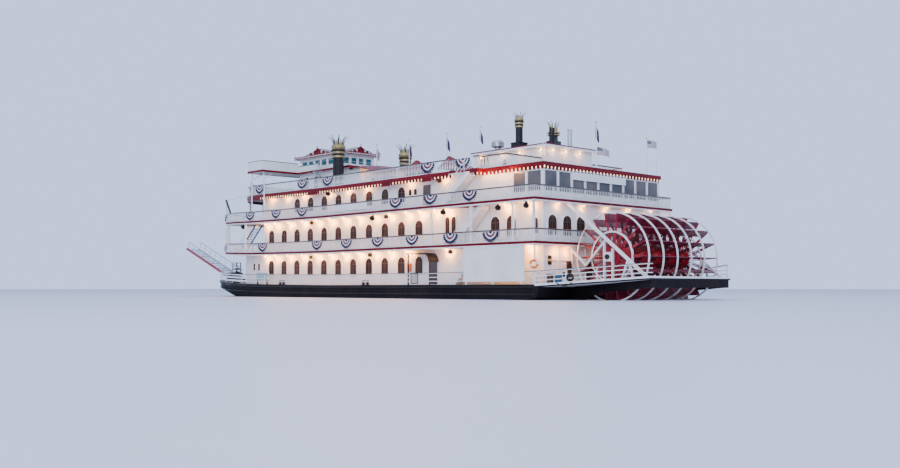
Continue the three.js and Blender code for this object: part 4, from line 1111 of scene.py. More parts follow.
for side_name, side in SIDES:
    for x in BAY_LAMPS:
        for level in (SECOND_TOP, THIRD_TOP):
            in_well = (level == THIRD_TOP and 6.6 < x < 9.8) or (level == SECOND_TOP and x in (13.6, 15.6))
            if not in_well:
                ceiling_lamp(x, side * LAMP_Y, level - DECK_DEPTH)
    for x in (41.8, 38.6, 35.4, 30.6, 27.4, 24.2, 17.4, 12.4, 6.2, 2.0):
        y = side * (8.62 if x > 7.5 else 8.25 - 0.5)
        if x > 7.5:
            ceiling_lamp(x, y, ROOF_TOP - DECK_DEPTH, 26.0)
    for x, y in ((46.5, 5.0), (50.5, 5.0)):
        for level in (SECOND_TOP, THIRD_TOP):
            ceiling_lamp(x, side * y, level - DECK_DEPTH, 18.0)
for y in (-7.2, -3.6, 0.0, 3.6, 7.2):
    glow(f"verandah_glow_{y:+.0f}", at(1.2, y, 10.9), 12.0, 0.10)
    ceiling_lamp(0.12, y * 0.9, THIRD_TOP - DECK_DEPTH, 9.0)
lamp_rings.made("ceiling_lamp_rings", WHITE_PAINT, smooth=50)
lamp_domes.made("ceiling_lamp_domes", WARM_LAMP, smooth=60, slot="lamp_glass")

# %% [markdown]
# The open space behind the wheel, under the second deck, is lit orange from inside, where the engine room opens
# on the fantail. Two strong warm lights there do it, with a coffered wall behind them to catch the light.

# %% Lit fantail under the second deck
for y, power in ((-6.8, 22.0), (-5.4, 22.0), (-1.5, 1.5), (1.5, 1.5), (5.4, 24.0), (6.8, 24.0)):
    glow(f"fantail_glow_{y:+.1f}", at(0.02, y, 4.0), power, 0.10, (1.0, 0.32, 0.06))
for side in (-1, 1):
    for x in (6.9, 5.2, 3.6):
        glow(f"stern_wall_glow_{x:.0f}_{side:+d}", at(x, side * 8.80, 10.95), 22.0)
fantail_wall = Builder()
for index in range(9):
    y = (index - 4) * 1.8
    fantail_wall.block((0.30, y - 0.82, 1.45), (0.398, y - 0.74, 4.45))
    fantail_wall.block((0.34, y - 0.74, 3.30), (0.398, y + 0.98, 3.38))
fantail_wall.block((0.30, -8.1, 4.40), (0.398, 8.1, 4.52))
fantail_wall.block((0.28, -8.1, 1.40), (0.398, 8.1, 1.62))
fantail_wall.made("fantail_wall_panels", WALL_PAINT, bevel=0.004)
fantail_doors = Builder()
for y in (-4.9, -2.3, 2.3, 4.9):
    fantail_doors.block((0.352, y - 0.42, 1.63), (0.397, y + 0.42, 3.26))
    fantail_doors.block((0.330, y - 0.32, 2.50), (0.353, y + 0.32, 3.10), kind=1)
fantail_doors.made("fantail_doors", [DARK_WOOD, SALOON_GLASS], bevel=0.004)

# %% [markdown]
# Loudspeakers and horn-shaped lamps hang on short brackets under the deck edges. They are small and dark, and
# break up the long white wall.

# %% Speakers and horn lamps
speakers = Builder()


def speaker(x, side, z, y=9.35):
    speakers.block((x - 0.02, side * y - 0.02, z + 0.22), (x + 0.02, side * y + 0.02, z + 0.36))
    low, high = sorted((side * (y - 0.14), side * (y + 0.12)))
    speakers.block((x - 0.17, low, z - 0.12), (x + 0.17, high, z + 0.22))
    face = side * (y + 0.12)
    speakers.turned(at(x, face, z + 0.05), (0, side, 0),
        [(0.13, 0.0), (0.13, 0.015), (0.09, 0.02), (0.04, 0.006)], 16)


def horn(x, side, z, y=9.1):
    foot = at(x, side * y, z)
    speakers.block((x - 0.03, side * y - 0.03, z - 0.02), (x + 0.03, side * y + 0.03, z + 0.16))
    aim = Vector((-0.55, side * 0.65, -0.52)).normalized()
    speakers.turned(foot - aim * 0.10, aim, [(0.08, 0.0), (0.14, 0.05), (0.14, 0.30), (0.25, 0.50),
        (0.27, 0.54), (0.18, 0.44)], 16)


for side_name, side in SIDES:
    for x in (32.5, 22.3, 10.6):
        speaker(x, side, 4.20)
    for x in (32.4, 19.8):
        speaker(x, side, 7.86)
    for x in (22.2, 11.8, 4.8, 1.5):
        horn(x, side, 8.05)
    horn(46.9, side, 8.05 + rise(46.9), 8.9)
    for x in (30.4, 12.9):
        horn(x, side, 11.10 + rise(x), 8.6)
speakers.made("speakers_and_horns", BLACK_PAINT, smooth=40, bevel=0.003)

# %% [markdown]
# Pleated half-round fans in red, white and blue hang from the rails. Cloth is gathered at the middle of its upper
# edge, so the folds are nothing there and deep at the hem. A cloth simulation could make them. Here a sine that
# grows with the radius does.

# %% Cloth finishes
def woven(name, colour_from, roughness=0.85):
    """Thin cloth: the colour comes from colour_from(net, u, v), with a fine weave as bump."""
    net = Nodes(name)
    parts = net.node("ShaderNodeSeparateXYZ")
    net.put(parts.inputs[0], net.node("ShaderNodeUVMap").outputs["UV"])
    u, v = parts.outputs[0], parts.outputs[1]
    colour = colour_from(net, u, v)
    fade = net.spread(net.noise(6.0), 0.35, 0.75, 0.0, 0.10)
    net.put(net.shader.inputs["Base Color"], net.mixed(fade, colour, rgb(0.42, 0.40, 0.44)))
    net.put(net.shader.inputs["Roughness"], net.spread(net.noise(9.0), 0.3, 0.7, roughness - 0.08, roughness
        + 0.05))
    net.bump(net.noise(320.0, net.stretched(1.0, 1.0, 2.5), detail=2.0), 0.25, 0.002)
    return net.material


RED_CLOTH, WHITE_CLOTH, BLUE_CLOTH = rgb(0.15, 0.004, 0.022), rgb(0.78, 0.78, 0.84), rgb(0.006, 0.006, 0.036)


def fan_colours(net, u, v):
    colour = BLUE_CLOTH
    for edge, cloth in ((0.22, WHITE_CLOTH), (0.36, RED_CLOTH), (0.58, WHITE_CLOTH), (0.72, BLUE_CLOTH)):
        colour = net.mixed(net.maths("GREATER_THAN", v, edge), colour, cloth)
    return colour


def flag_colours(net, u, v):
    """Thirteen stripes, and a blue canton with a grid of small white dots."""
    stripe = net.maths("FLOOR", net.maths("MULTIPLY", v, 13.0))
    odd = net.maths("MODULO", stripe, 2.0)
    stripes = net.mixed(odd, RED_CLOTH, WHITE_CLOTH)
    du = net.maths("SUBTRACT", net.maths("FRACT", net.maths("MULTIPLY", u, 15.0)), 0.5)
    dv = net.maths("SUBTRACT", net.maths("FRACT", net.maths("MULTIPLY", v, 13.0)), 0.5)
    away = net.maths("SQRT", net.maths("ADD", net.maths("MULTIPLY", du, du), net.maths("MULTIPLY", dv, dv)))
    canton = net.mixed(net.maths("LESS_THAN", away, 0.24), BLUE_CLOTH, WHITE_CLOTH)
    inside = net.maths("MULTIPLY", net.maths("LESS_THAN", u, 0.4), net.maths("LESS_THAN", v, 7 / 13))
    return net.mixed(inside, stripes, canton)


FAN_CLOTH = woven("bunting_cloth", fan_colours)
FLAG_CLOTH = woven("flag_cloth", flag_colours)
DARK_CLOTH = woven("dark_blue_cloth", lambda net, u,
    v: net.mixed(net.noise(5.0), rgb(0.030, 0.026, 0.12), rgb(0.10, 0.03, 0.09)))
CANVAS = woven("white_canvas", lambda net, u,
    v: net.mixed(net.noise(3.0), rgb(0.84, 0.83, 0.82), rgb(0.74, 0.73, 0.74)))


def cloth_grid(name, spot, columns, rows, material, thick=0.003):
    """A sheet from spot(u, v), with u and v from 0 to 1, given a little thickness."""
    corners = [spot(i / columns, j / rows) for j in range(rows + 1) for i in range(columns + 1)]
    wide = columns + 1
    faces = [
        (j * wide + i, j * wide + i + 1, (j + 1) * wide + i + 1, (j + 1) * wide + i)
        for j in range(rows) for i in range(columns)
    ]
    mesh = bpy.data.meshes.new(name)
    mesh.from_pydata([tuple(c) for c in corners], [], faces)
    chart = mesh.uv_layers.new(name="cut")
    for loop in mesh.loops:
        chart.data[loop.index].uv = ((loop.vertex_index % wide) / columns, (loop.vertex_index // wide) / rows)
    mesh.polygons.foreach_set("use_smooth", [True] * len(mesh.polygons))
    mesh.materials.append(material)
    piece = bpy.data.objects.new(name, mesh)
    bpy.context.scene.collection.objects.link(piece)
    body = piece.modifiers.new("cloth_thickness", "SOLIDIFY")
    body.thickness = thick
    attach(piece, "boat")
    return piece, sum(face.area for face in mesh.polygons)


# %% [markdown]
# Each fan needs its own pleats and a slightly different hang, or a row of them looks stamped. The hem is a half
# round that dips to a soft point. The line of the rail gives the direction, because the bow rails are curved.

# %% Bunting fans
FAN_HALF, FAN_DROP, FAN_PLEATS, PLEAT_DEPTH = 0.94, 0.86, 11, 0.055
fan_random = random.Random(7)


def fan(name, x, y, dx, dy, top):
    outward = Vector((dy, -dx, 0))
    forward = Vector((dx, dy, 0))
    shift, lean = fan_random.uniform(0, 6.28), fan_random.uniform(-0.04, 0.04)
    size = fan_random.uniform(0.96, 1.03)

    def spot(u, v):
        turn = math.pi * u
        pleat = PLEAT_DEPTH * v * math.sin(2 * math.pi * FAN_PLEATS * u + shift)
        across = -FAN_HALF * size * v * math.cos(turn) + lean * v
        belly = math.sin(turn) ** 0.85 * 0.94 + 0.10 * math.sin(turn) ** 8
        down = FAN_DROP * size * v * belly + 0.06 * v * (1 - math.sin(turn))
        away = 0.07 + PLEAT_DEPTH + pleat + 0.05 * v * math.sin(turn)
        place = Vector((x, y, 0)) + forward * across + outward * away
        return at(place.x, place.y, top - down + rise(x + dx * across) - rise(x))

    piece, area = cloth_grid(name, spot, 88, 20, FAN_CLOTH)


FANS = {
    "second": (5.86, 9.60, [41.4, 30.84, 25.7, 20.6, 15.5, 10.2, 5.1]),
    "third": (9.52, 9.60, [44.2, 38.7, 33.6, 17.9, 12.85, 7.7]),
    "roof": (12.62, 8.90, [34.7, 30.0, 14.05]),
}
for side_name, side in SIDES:
    for level, (top, line, places) in FANS.items():
        for index, x in enumerate(places):
            fan(f"{level}_fan_{side_name}_{index + 1}", x, side * line, float(side < 0) * 2 - 1, 0.0,
                top + rise(x))
for name, plan, level, reach, xs in (
    ("second", DECK_PLAN, 5.86, 0.16, (52.5,)), ("third", DECK_PLAN, 9.52, 0.16, (52.5,)),
    ("roof", ROOF_PLAN, 12.62, 0.16, (43.4,)),
):
    half, _, shoulder, tip = plan
    for side_name, side in SIDES:
        for index, x in enumerate(xs):
            turn = math.asin((x - shoulder) / (tip - reach - shoulder))
            y = (half - reach) * math.cos(turn)
            slope = Vector(((tip - reach - shoulder) * math.cos(turn),
                -(half - reach) * math.sin(turn))).normalized()
            along = slope * (1 if side < 0 else -1)
            dx, dy = (along.x, along.y * side) if side > 0 else (along.x, -along.y)
            fan(f"{name}_fan_bow_{side_name}_{index + 1}", x, side * y, dx, dy, level + rise(x))

# %% [markdown]
# Two flags at the stern fly out on a light wind, and the others hang limp round their staffs. A
# flying flag is a travelling wave that deepens towards its free edge. A limp one folds on itself: its fly goes
# back and forth in tight bends, so it takes little room. Both kinds come out smaller than their cut.

# %% Flags
def flying_flag(name, x, y, top, reach, drop, droop, heading=(-0.62, -0.78), wave=0.10):
    run = Vector(heading).normalized()
    aside = Vector((-run.y, run.x))

    def spot(u, v):
        swing = wave * u * math.sin(7.5 * u + 1.6 * v) * reach
        sag = droop * u ** 1.5 * reach * (1 - 0.35 * v)
        along = reach * u * (1 - 0.10 * u)
        place = Vector((x, y)) + run * (along + 0.05) + aside * swing
        return at(place.x, place.y, top - drop * v * (1 - 0.10 * u) - sag)

    piece, area = cloth_grid(name, spot, 60, 39, FLAG_CLOTH)
    print(name, "area", round(area, 3), "flat", round(reach * drop * MODEL_SCALE ** 2, 3))


def limp_flag(name, x, y, top, reach, drop, cloth, turn=0.0, folds=3.0):
    """reach is the fly and drop the hoist, in metres of the full-size boat."""
    fall = 0.50
    steps = 144
    spread = math.sqrt(1 - fall ** 2)
    place = Vector((0.0, 0.0))
    path = [place.copy()]
    for index in range(steps):
        u = (index + 0.5) / steps
        bend = math.radians(108) * math.sin(2 * math.pi * folds * u + 0.9)
        place = place + Vector((math.cos(bend), math.sin(bend))) * reach / steps * spread
        path.append(place.copy())

    def spot(u, v):
        here = path[round(u * steps)]
        tight = 0.80 + 0.20 * v
        ahead = Vector((here.x * tight, here.y * tight))
        ahead.rotate(Matrix.Rotation(turn + 0.35 * v, 2))
        return at(x + 0.07 + ahead.x, y + ahead.y, top - drop * v - fall * reach * u * (1 - 0.18 * v * u))

    piece, area = cloth_grid(name, spot, steps, 39, cloth)
    print(name, "area", round(area, 3), "flat", round(reach * drop * MODEL_SCALE ** 2, 3))


flying_flag("stern_flag", 1.3, 0.0, 13.70, 1.30, 0.72, 0.30)
limp_flag("stern_dark_flag", 1.3, 0.0, 15.75, 1.3, 1.15, DARK_CLOTH, turn=-2.4)
flying_flag("quarter_flag", 1.4, -7.7, 15.10, 1.05, 0.72, 0.20)
limp_flag("bridge_flag", 33.05, 0.0, 17.15, 1.5, 1.1, FLAG_CLOTH, turn=-2.2)
limp_flag("fore_staff_flag", 27.35, 0.0, 17.0, 1.5, 1.1, DARK_CLOTH, turn=-2.6)
limp_flag("middle_staff_flag", 21.2, 0.0, 17.0, 1.5, 1.1, DARK_CLOTH, turn=-2.4)
limp_flag("aft_staff_flag", 16.2, 0.0, 17.1, 1.4, 1.0, DARK_CLOTH, turn=-2.3)

trucks = Builder()
for x, y, top in ((1.3, 0, 15.9), (1.4, -7.7, 15.3), (33.05, 0, 17.3), (27.35, 0, 17.2), (21.2, 0, 17.2),
        (16.2, 0, 17.3)):
    trucks.turned(at(x, y, top - 0.02), (0, 0, 1),
        [(0.01, -0.02), (0.06, 0.0), (0.085, 0.05), (0.06, 0.10), (0.01, 0.12)], 12)
trucks.made("staff_trucks", GOLD, smooth=60, slot="gold_paint")

# %% [markdown]
# A long blank banner is laced to the third deck's rail amidships, to port alone. Canvas pulled tight between its
# corners still dips a little between the lacing points, so its edges are shallow scallops.

# %% Banner on the third deck's rail
BANNER_LENGTH, BANNER_DROP = 6.1, 0.66
BANNER_FORE_END, BANNER_LINE, BANNER_TOP = 28.4, 9.705, 0.95


def banner_spot(u, v):
    x = BANNER_FORE_END - BANNER_LENGTH * u
    edge = 0.015 * abs(math.sin(9 * math.pi * u)) * (1 - 2 * v)
    swell = 0.018 * math.sin(math.pi * v) * (1 + 0.4 * math.sin(11 * u))
    return at(x, BANNER_LINE + swell, THIRD_TOP + rise(x) + BANNER_TOP - edge - BANNER_DROP * v)


banner, _ = cloth_grid("blank_banner_port", banner_spot, 90, 12, CANVAS)

# %% [markdown]
# The pilothouse stands on the bridge with windows all round: tall panes, a pale roof with a red edge with a curled
# pediment on each face, and spikes at its corners. The CAD gives its walls, openings and roof.

# %% Pilothouse panes, sills and pediments
PILOT_AFT, PILOT_FORE, PILOT_HALF = 36.6, 44.9, 2.35
PILOT_SILL, PILOT_HEAD = 15.35, 16.15
panes, frames = Builder(), Builder()
pitch_side = (PILOT_FORE - PILOT_AFT - 0.4) / 6
for index in range(6):
    middle = PILOT_AFT + 0.2 + pitch_side * (index + 0.5)
    for side in (-1, 1):
        glazed_bay(panes, frames, middle, PILOT_SILL, PILOT_HEAD, pitch_side / 2 - 0.122, "x",
            side * (PILOT_HALF - 0.075))
pitch_end = (2 * PILOT_HALF - 0.4) / 4
for index in range(4):
    middle = 0.2 - PILOT_HALF + pitch_end * (index + 0.5)
    for face in (PILOT_AFT + 0.075, PILOT_FORE - 0.075):
        glazed_bay(panes, frames, middle, PILOT_SILL, PILOT_HEAD, pitch_end / 2 - 0.122, "y", face)
panes.made("pilothouse_panes", PILOT_GLASS, slot="window_glass")
frames.made("pilothouse_frames", WHITE_PAINT, bevel=0.003)

trim = Builder()
for z0, z1, out in ((15.22, 15.30, 0.05), (16.24, 16.32, 0.04), (14.601, 14.72, 0.04)):
    low, high = PILOT_AFT - out, PILOT_FORE + out
    half = PILOT_HALF + out
    for y in (-half, half):
        trim.block((low, min(y, y * 0.97), z0), (high, max(y, y * 0.97), z1))
    for x in (low, high - out):
        trim.block((x, -half, z0), (x + out, half, z1))
trim.made("pilothouse_trim", WHITE_PAINT, bevel=0.003)

EAVE_FOOT, EAVE_TOP, RIDGE_TOP = 16.45, 16.73, 17.45
scrolls = Builder()


def scroll(spot, width, kind=0):
    """Half of a pediment: a curling bar from the eave's corner up to the peak, and a smaller curl inside."""
    path = []
    for step in range(15):
        part = step / 14
        path.append(spot(width * (1 - part), 0.02 + 0.66 * part ** 1.5 + 0.08 * math.sin(part * 2 * math.pi)))
    scrolls.tube(path, [0.030 - 0.012 * abs(0.5 - i / 14) for i in range(15)], 8, kind)
    curl = []
    for step in range(20):
        turn = step / 19 * 2.2 * math.pi
        radius = 0.17 * (1 - 0.75 * step / 19)
        curl.append(spot(width * 0.38 + radius * math.cos(turn), 0.20 + radius * math.sin(turn)))
    scrolls.tube(curl, 0.030, 6, 1)
    curl = []
    for step in range(16):
        turn = step / 15 * 2 * math.pi
        radius = 0.11 * (1 - 0.7 * step / 15)
        curl.append(spot(width * 0.74 - radius * math.cos(turn), 0.10 + radius * math.sin(turn)))
    scrolls.tube(curl, 0.026, 6, 1)


for face in (-2.83, 2.83):
    for way in (-1, 1):
        scroll(lambda a, u, f=face, w=way: at(40.75 + w * a, f, EAVE_TOP + u), 2.3)
    scrolls.turned(at(40.75, face, RIDGE_TOP - 0.10), (0, 0, 1),
        [(0.03, 0), (0.09, 0.10), (0.03, 0.20), (0.05, 0.28), (0.008, 0.46)], 10)
for face in (36.02, 45.48):
    for way in (-1, 1):
        scroll(lambda a, u, f=face, w=way: at(f, w * a, EAVE_TOP + u), 1.65)
    scrolls.turned(at(face, 0, RIDGE_TOP - 0.10), (0, 0, 1),
        [(0.03, 0), (0.09, 0.10), (0.03, 0.20), (0.05, 0.28), (0.008, 0.46)], 10)
for x in (36.05, 45.45):
    for y in (-2.8, 2.8):
        scrolls.turned(at(x, y, EAVE_TOP - 0.05), (0, 0, 1),
            [(0.07, 0), (0.08, 0.05), (0.03, 0.12), (0.05, 0.20), (0.008, 0.40)], 10)
scrolls.made("pilothouse_pediments", [EDGE_RED, WHITE_PAINT], smooth=50)

eaves = Builder()
for z0, z1, out in ((EAVE_FOOT - 0.02, EAVE_FOOT + 0.04, 0.03), (EAVE_TOP - 0.05, EAVE_TOP + 0.01, 0.05)):
    for y in (-2.85 - out, 2.85):
        eaves.block((36.0 - out, y, z0), (45.5 + out, y + out, z1))
    for x in (36.0 - out, 45.5):
        eaves.block((x, -2.85, z0), (x + out, 2.85, z1))
for index in range(38):
    x = 36.15 + index * 0.25
    for y0, y1 in ((-2.90, -2.852), (2.852, 2.90)):
        eaves.block((x, y0, EAVE_FOOT + 0.07), (x + 0.12, y1, EAVE_FOOT + 0.19), kind=1)
for index in range(23):
    y = -2.80 + index * 0.25
    for x0, x1 in ((35.95, 35.998), (45.502, 45.55)):
        eaves.block((x0, y, EAVE_FOOT + 0.07), (x1, y + 0.12, EAVE_FOOT + 0.19), kind=1)
eaves.made("pilothouse_eaves", [CRIMSON_PAINT, WHITE_PAINT], bevel=0.002)

# %% [markdown]
# The wings of the bridge have screens with a dark handrail, a dark edge and braces under them. Abaft the bridge a
# shallow arched canopy covers the deck, lit warm from below, and a ladder leads up to the bridge.

# %% Bridge wings, canopy and ladder
BRIDGE_TOP = 14.60
PLATFORM = [(32.9, -4.1), (42.9, -4.1), (42.9, -9.0), (46.0, -9.0), (46.0, 9.0), (42.9, 9.0), (42.9, 4.1),
    (32.9, 4.1)]


def flat_rise_sweep(builder, line, level, profile, kind=0):
    """sweep() for a level line: the bridge doesn't follow the decks' rise."""
    rings = []
    count = len(line)
    for i, (x, y) in enumerate(line):
        into = Vector((x - line[i - 1][0], y - line[i - 1][1])).normalized()
        out_of = Vector((line[(i + 1) % count][0] - x, line[(i + 1) % count][1] - y)).normalized()
        mean = (into + out_of).normalized()
        outward = Vector((mean.y, -mean.x)) / max(0.4, mean.dot(into))
        rings.append([at(x + outward.x * o, y + outward.y * o, level + u) for o, u in profile])
    builder.rings(rings, kind, closed=True)


bridge_trim = Builder()
flat_rise_sweep(bridge_trim, PLATFORM, BRIDGE_TOP, oblong(-0.22, 0.02, 0.06))


def camber(y):
    """Height of the arched edge abaft the pilothouse."""
    return BRIDGE_TOP - 0.30 + 0.36 * max(0.0, math.sin(math.pi * (y + 4.1) / 8.2)) ** 0.8


for step in range(12):
    y0, y1 = -4.1 + 8.2 * step / 12, -4.1 + 8.2 * (step + 1) / 12
    arch = [camber(y0), camber(y1)]
    ends = [[at(x, y, arch[k] - 0.20), at(x, y, arch[k] + 0.02)] for k,
        y in enumerate((y0, y1)) for x in (32.80, 32.87)]
    bridge_trim.rings([[ends[0][0], ends[0][1], ends[1][1], ends[1][0]],
        [ends[2][0], ends[2][1], ends[3][1], ends[3][0]]])
bridge_trim.made("bridge_edges", EDGE_RED, bevel=0.004)

# %% [markdown]
# The wings and the fore edge of the bridge have solid white screens with a dark handrail. Beside the pilothouse the
# screen is lower, and further aft there is only an open rail, so the pilothouse windows show. These replace the
# bridge rail of the CAD, whose screen is one height all round.

# %% Bridge screens and rails
SCREEN_HIGH, SCREEN_LOW, SCREEN_END = 1.05, 0.70, 38.8
bridge_guard = Builder()


def screen_wall(line, high):
    for (x0, y0), (x1, y1) in zip(line, line[1:]):
        length = math.hypot(x1 - x0, y1 - y0)
        dx, dy = (x1 - x0) / length, (y1 - y0) / length
        into = Vector((-dy, dx)) * 0.03
        ax, ay, bx, by = x0 + into.x, y0 + into.y, x1 + into.x, y1 + into.y
        bridge_guard.beam(at(ax, ay, BRIDGE_TOP + high / 2), at(bx, by, BRIDGE_TOP + high / 2), 0.018,
            high / 2 - 0.002)
        count = max(2, round(length / 1.2))
        for index in range(count + 1):
            along = 0.06 + (length - 0.12) * index / count
            px, py = x0 + dx * along - dy * 0.07, y0 + dy * along + dx * 0.07
            bridge_guard.block((px - 0.03, py - 0.03, BRIDGE_TOP + 0.002),
                (px + 0.03, py + 0.03, BRIDGE_TOP + high))
        bridge_guard.beam(at(ax, ay, BRIDGE_TOP + high + 0.03), at(bx, by, BRIDGE_TOP + high + 0.03), 0.05,
            0.03, 1)


def open_rail(line):
    for (x0, y0), (x1, y1) in zip(line, line[1:]):
        length = math.hypot(x1 - x0, y1 - y0)
        count = max(2, round(length / 2.2))
        for index in range(count + 1):
            part = index / count
            px, py = x0 + (x1 - x0) * part, y0 + (y1 - y0) * part
            bridge_guard.tube([at(px, py, BRIDGE_TOP + 0.002), at(px, py, BRIDGE_TOP + 0.95)], 0.010, 8)
        for up in (0.48, 0.95):
            bridge_guard.tube([at(x0, y0, BRIDGE_TOP + up), at(x1, y1, BRIDGE_TOP + up)], 0.006, 8)


WING_LINE = [(42.9, -4.1), (42.9, -9.0), (46.0, -9.0), (46.0, 9.0), (42.9, 9.0), (42.9, 4.1)]
screen_wall(WING_LINE, SCREEN_HIGH)
screen_wall([(SCREEN_END, -4.1), (42.9, -4.1)], SCREEN_LOW)
screen_wall([(42.9, 4.1), (SCREEN_END, 4.1)], SCREEN_LOW)
open_rail([(SCREEN_END, -4.04), (32.96, -4.04), (32.96, 4.04), (SCREEN_END, 4.04)])
bridge_guard.tube([at(33.05, 0, BRIDGE_TOP + 0.002), at(33.05, 0, 17.3)], [0.035, 0.020], 12)
guard = bridge_guard.made("bridge_screens_and_rails", [WHITE_PAINT, DARK_WOOD], smooth=40)
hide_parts("bridge_rail")

braces = Builder()
for side in (-1, 1):
    for x in (43.2, 44.4, 45.7):
        braces.beam(at(x, side * 8.7, BRIDGE_TOP - 0.22), at(x, side * 3.75, BRIDGE_TOP - 0.22), 0.04, 0.05)
    for x in (43.2, 45.7):
        top = ROOF_TOP + rise(x) + 0.001
        braces.tube([at(x, side * 8.55, top), at(x, side * 8.55, BRIDGE_TOP - 0.24)], 0.03, 10)
        braces.beam(at(x, side * 8.5, top + 1.9), at(x, side * 7.3, BRIDGE_TOP - 0.24), 0.03, 0.04)
braces.made("bridge_wing_braces", WHITE_PAINT, bevel=0.003)

canopy = Builder()
rows = []
for step in range(13):
    y = -4.1 + 8.2 * step / 12
    high, low = camber(y), camber(y) - 0.60
    outline = [(28.8, low), (31.2, high), (32.78, high)]
    rows.append([at(x, y, z - 0.06) for x, z in outline] + [at(x, y, z) for x, z in reversed(outline)])
canopy.rings(rows)
for y in (-4.0, 0.0, 4.0):
    crown = camber(y) - 0.60
    canopy.tube([at(29.0, y, ROOF_TOP + 0.002), at(29.0, y, crown)], 0.03, 10, kind=1)
canopy.made("texas_canopy", [EDGE_RED, WHITE_PAINT], bevel=0.004)
for x, y in ((30.4, 3.0), (30.4, -3.0), (32.2, 3.4), (32.2, -3.4)):
    glow(f"canopy_glow_{x:.0f}_{y:+.0f}", at(x, y, 13.45), 24.0)

LADDER_FOOT, LADDER_HEAD = 36.0, 39.2
RUNGS = 11
ladder = Builder()
for side in (-1, 1):
    for aside in (4.16, 4.16 + 0.42):
        foot_point = at(LADDER_FOOT, side * aside, ROOF_TOP + 0.10)
        ladder.beam(foot_point, at(LADDER_HEAD, side * aside, BRIDGE_TOP + 0.05), 0.02, 0.07)
        ladder.tube([at(35.9, side * aside, 12.55), at(LADDER_HEAD, side * aside, 15.55)], 0.012, 8)
    for index in range(RUNGS):
        part = (index + 0.5) / RUNGS
        x, z = 36.0 + 3.2 * part, ROOF_TOP + 0.10 + (BRIDGE_TOP - ROOF_TOP) * part
        ladder.block((x - 0.10, min(side * 4.17, side * 4.57), z - 0.02),
            (x + 0.10, max(side * 4.17, side * 4.57), z + 0.02))
ladder.made("bridge_ladders", GREY_METAL, bevel=0.002)

# %% [markdown]
# The texas house has doors and small windows, and the stern house has the same with round lamps under its eaves.
# Neither can be seen well in the picture, so they are plain: a row of arched windows between white mouldings.

# %% Windows of the texas and stern houses
for side_name, side in SIDES:
    texas = WindowMaker((0, side * 3.6, 0), (1, 0, 0), (0, side, 0))
    for x in (41.6, 39.8, 35.2):
        texas.fit(x, 0.36, 12.55 + rise(x), 13.85 + rise(x))
    texas.fit(37.6, 0.42, 11.75 + rise(37.6), 13.75 + rise(37.6), head_steps=4)
    texas.made("texas_windows_" + side_name)
    stern_side = WindowMaker((0, side * 3.3, 0), (1, 0, 0), (0, side, 0))
    for x in (12.65, 12.25, 11.85):
        stern_side.fit(x, 0.14, 12.75, 13.55, bars=False)
    stern_side.fit(9.6, 0.26, 12.50, 13.10, bars=False)
    stern_side.made("stern_house_windows_" + side_name)
for name, x, facing in (("texas_aft", 31.5, -1), ("texas_front", 43.2, 1)):
    wall = WindowMaker((x, 0, 0), (0, 1, 0), (facing, 0, 0))
    lift = 0.15 if x > 40 else 0.0
    for y in (-1.9, 1.9):
        wall.fit(y, 0.36, 12.35 + lift, 13.30 + lift)
    wall.fit(0, 0.42, 11.62 + lift, 13.35 + lift, head_steps=4)
    wall.made(name + "_windows")

eave_rings, eave_globes = Builder(), Builder()


def globe(x, y, out_x, out_y, z=13.52):
    eave_rings.turned(at(x, y, z), (out_x, out_y, 0),
        [(0.02, 0.0), (0.11, 0.0), (0.11, 0.04), (0.05, 0.06), (0.02, 0.06)], 14)
    centre = at(x + out_x * 0.13, y + out_y * 0.13, z - 0.02)
    eave_globes.turned(centre - Vector((0, 0, 0.05)), (0, 0, 1), [
        (0.10 * math.sin(math.pi * k / 8) + 0.004, 0.10 - 0.10 * math.cos(math.pi * k / 8)) for k in range(9)
    ], 14)
    glow(f"eave_glow_{len(bpy.data.lights):03d}", at(x + out_x * 0.34, y + out_y * 0.34, z - 0.06), 7.0)


for y in (2.45, 0.65, -1.32):
    globe(4.5, y, -1, 0)
for side in (-1, 1):
    for x in (4.9, 7.55, 9.8, 12.6):
        globe(x, side * 3.3, 0, side)
eave_rings.made("eave_lamp_rings", GREY_METAL, smooth=50)
eave_globes.made("eave_lamp_globes", WARM_LAMP, smooth=60, slot="lamp_glass")
# %% [markdown]
# The wheel is a lattice: on each frame the arms run in pairs from the hub and meet at the rim, where a plank is
# bolted on. The CAD wheel has one arm for each plank. The crossing arms and the hub plates are added here, and turn
# with it. They could be cut from one plate, but separate flat bars are how such a wheel is put together.

# %% Crossing arms and hub plates of the wheel
PLANKS = 18
wheel_arms = Builder()
for frame_index in range(6):
    y = (frame_index - 2.5) * FRAME_PITCH
    for index in range(PLANKS):
        turn = 2 * math.pi * index / PLANKS
        head = at(SHAFT_X + 3.60 * math.cos(turn), y, SHAFT_Z + 3.60 * math.sin(turn))
        for way in (-0.62, 0.62):
            angle = turn + way * 2 * math.pi / PLANKS
            foot = at(SHAFT_X + 0.82 * math.cos(angle), y, SHAFT_Z + 0.82 * math.sin(angle))
            # The four inner frames get the darker crimson, which is painted shade inside the wheel.
            wheel_arms.beam(foot, head, 0.022, 0.030, 0 if frame_index in (0, 5) else 2)
        plate_at = at(SHAFT_X + 3.28 * math.cos(turn), y + 0.055, SHAFT_Z + 3.28 * math.sin(turn))
        wheel_arms.turned(plate_at, (0, 1, 0), [(0.02, 0), (0.06, 0), (0.05, 0.03), (0.01, 0.035)], 8, kind=1)
    for way in (-1, 1):
        wheel_arms.turned(
            at(SHAFT_X, y + way * 0.052, SHAFT_Z), (0, way, 0),
            [(0.22, 0.0), (0.80, 0.0), (0.80, 0.03), (0.46, 0.05), (0.40, 0.12), (0.22, 0.12)], 20,
        )
wheel_arms.made("wheel_crossing_arms", [CRIMSON_PAINT, BLACK_PAINT, SHADED_CRIMSON], body="paddle_wheel",
    smooth=40)

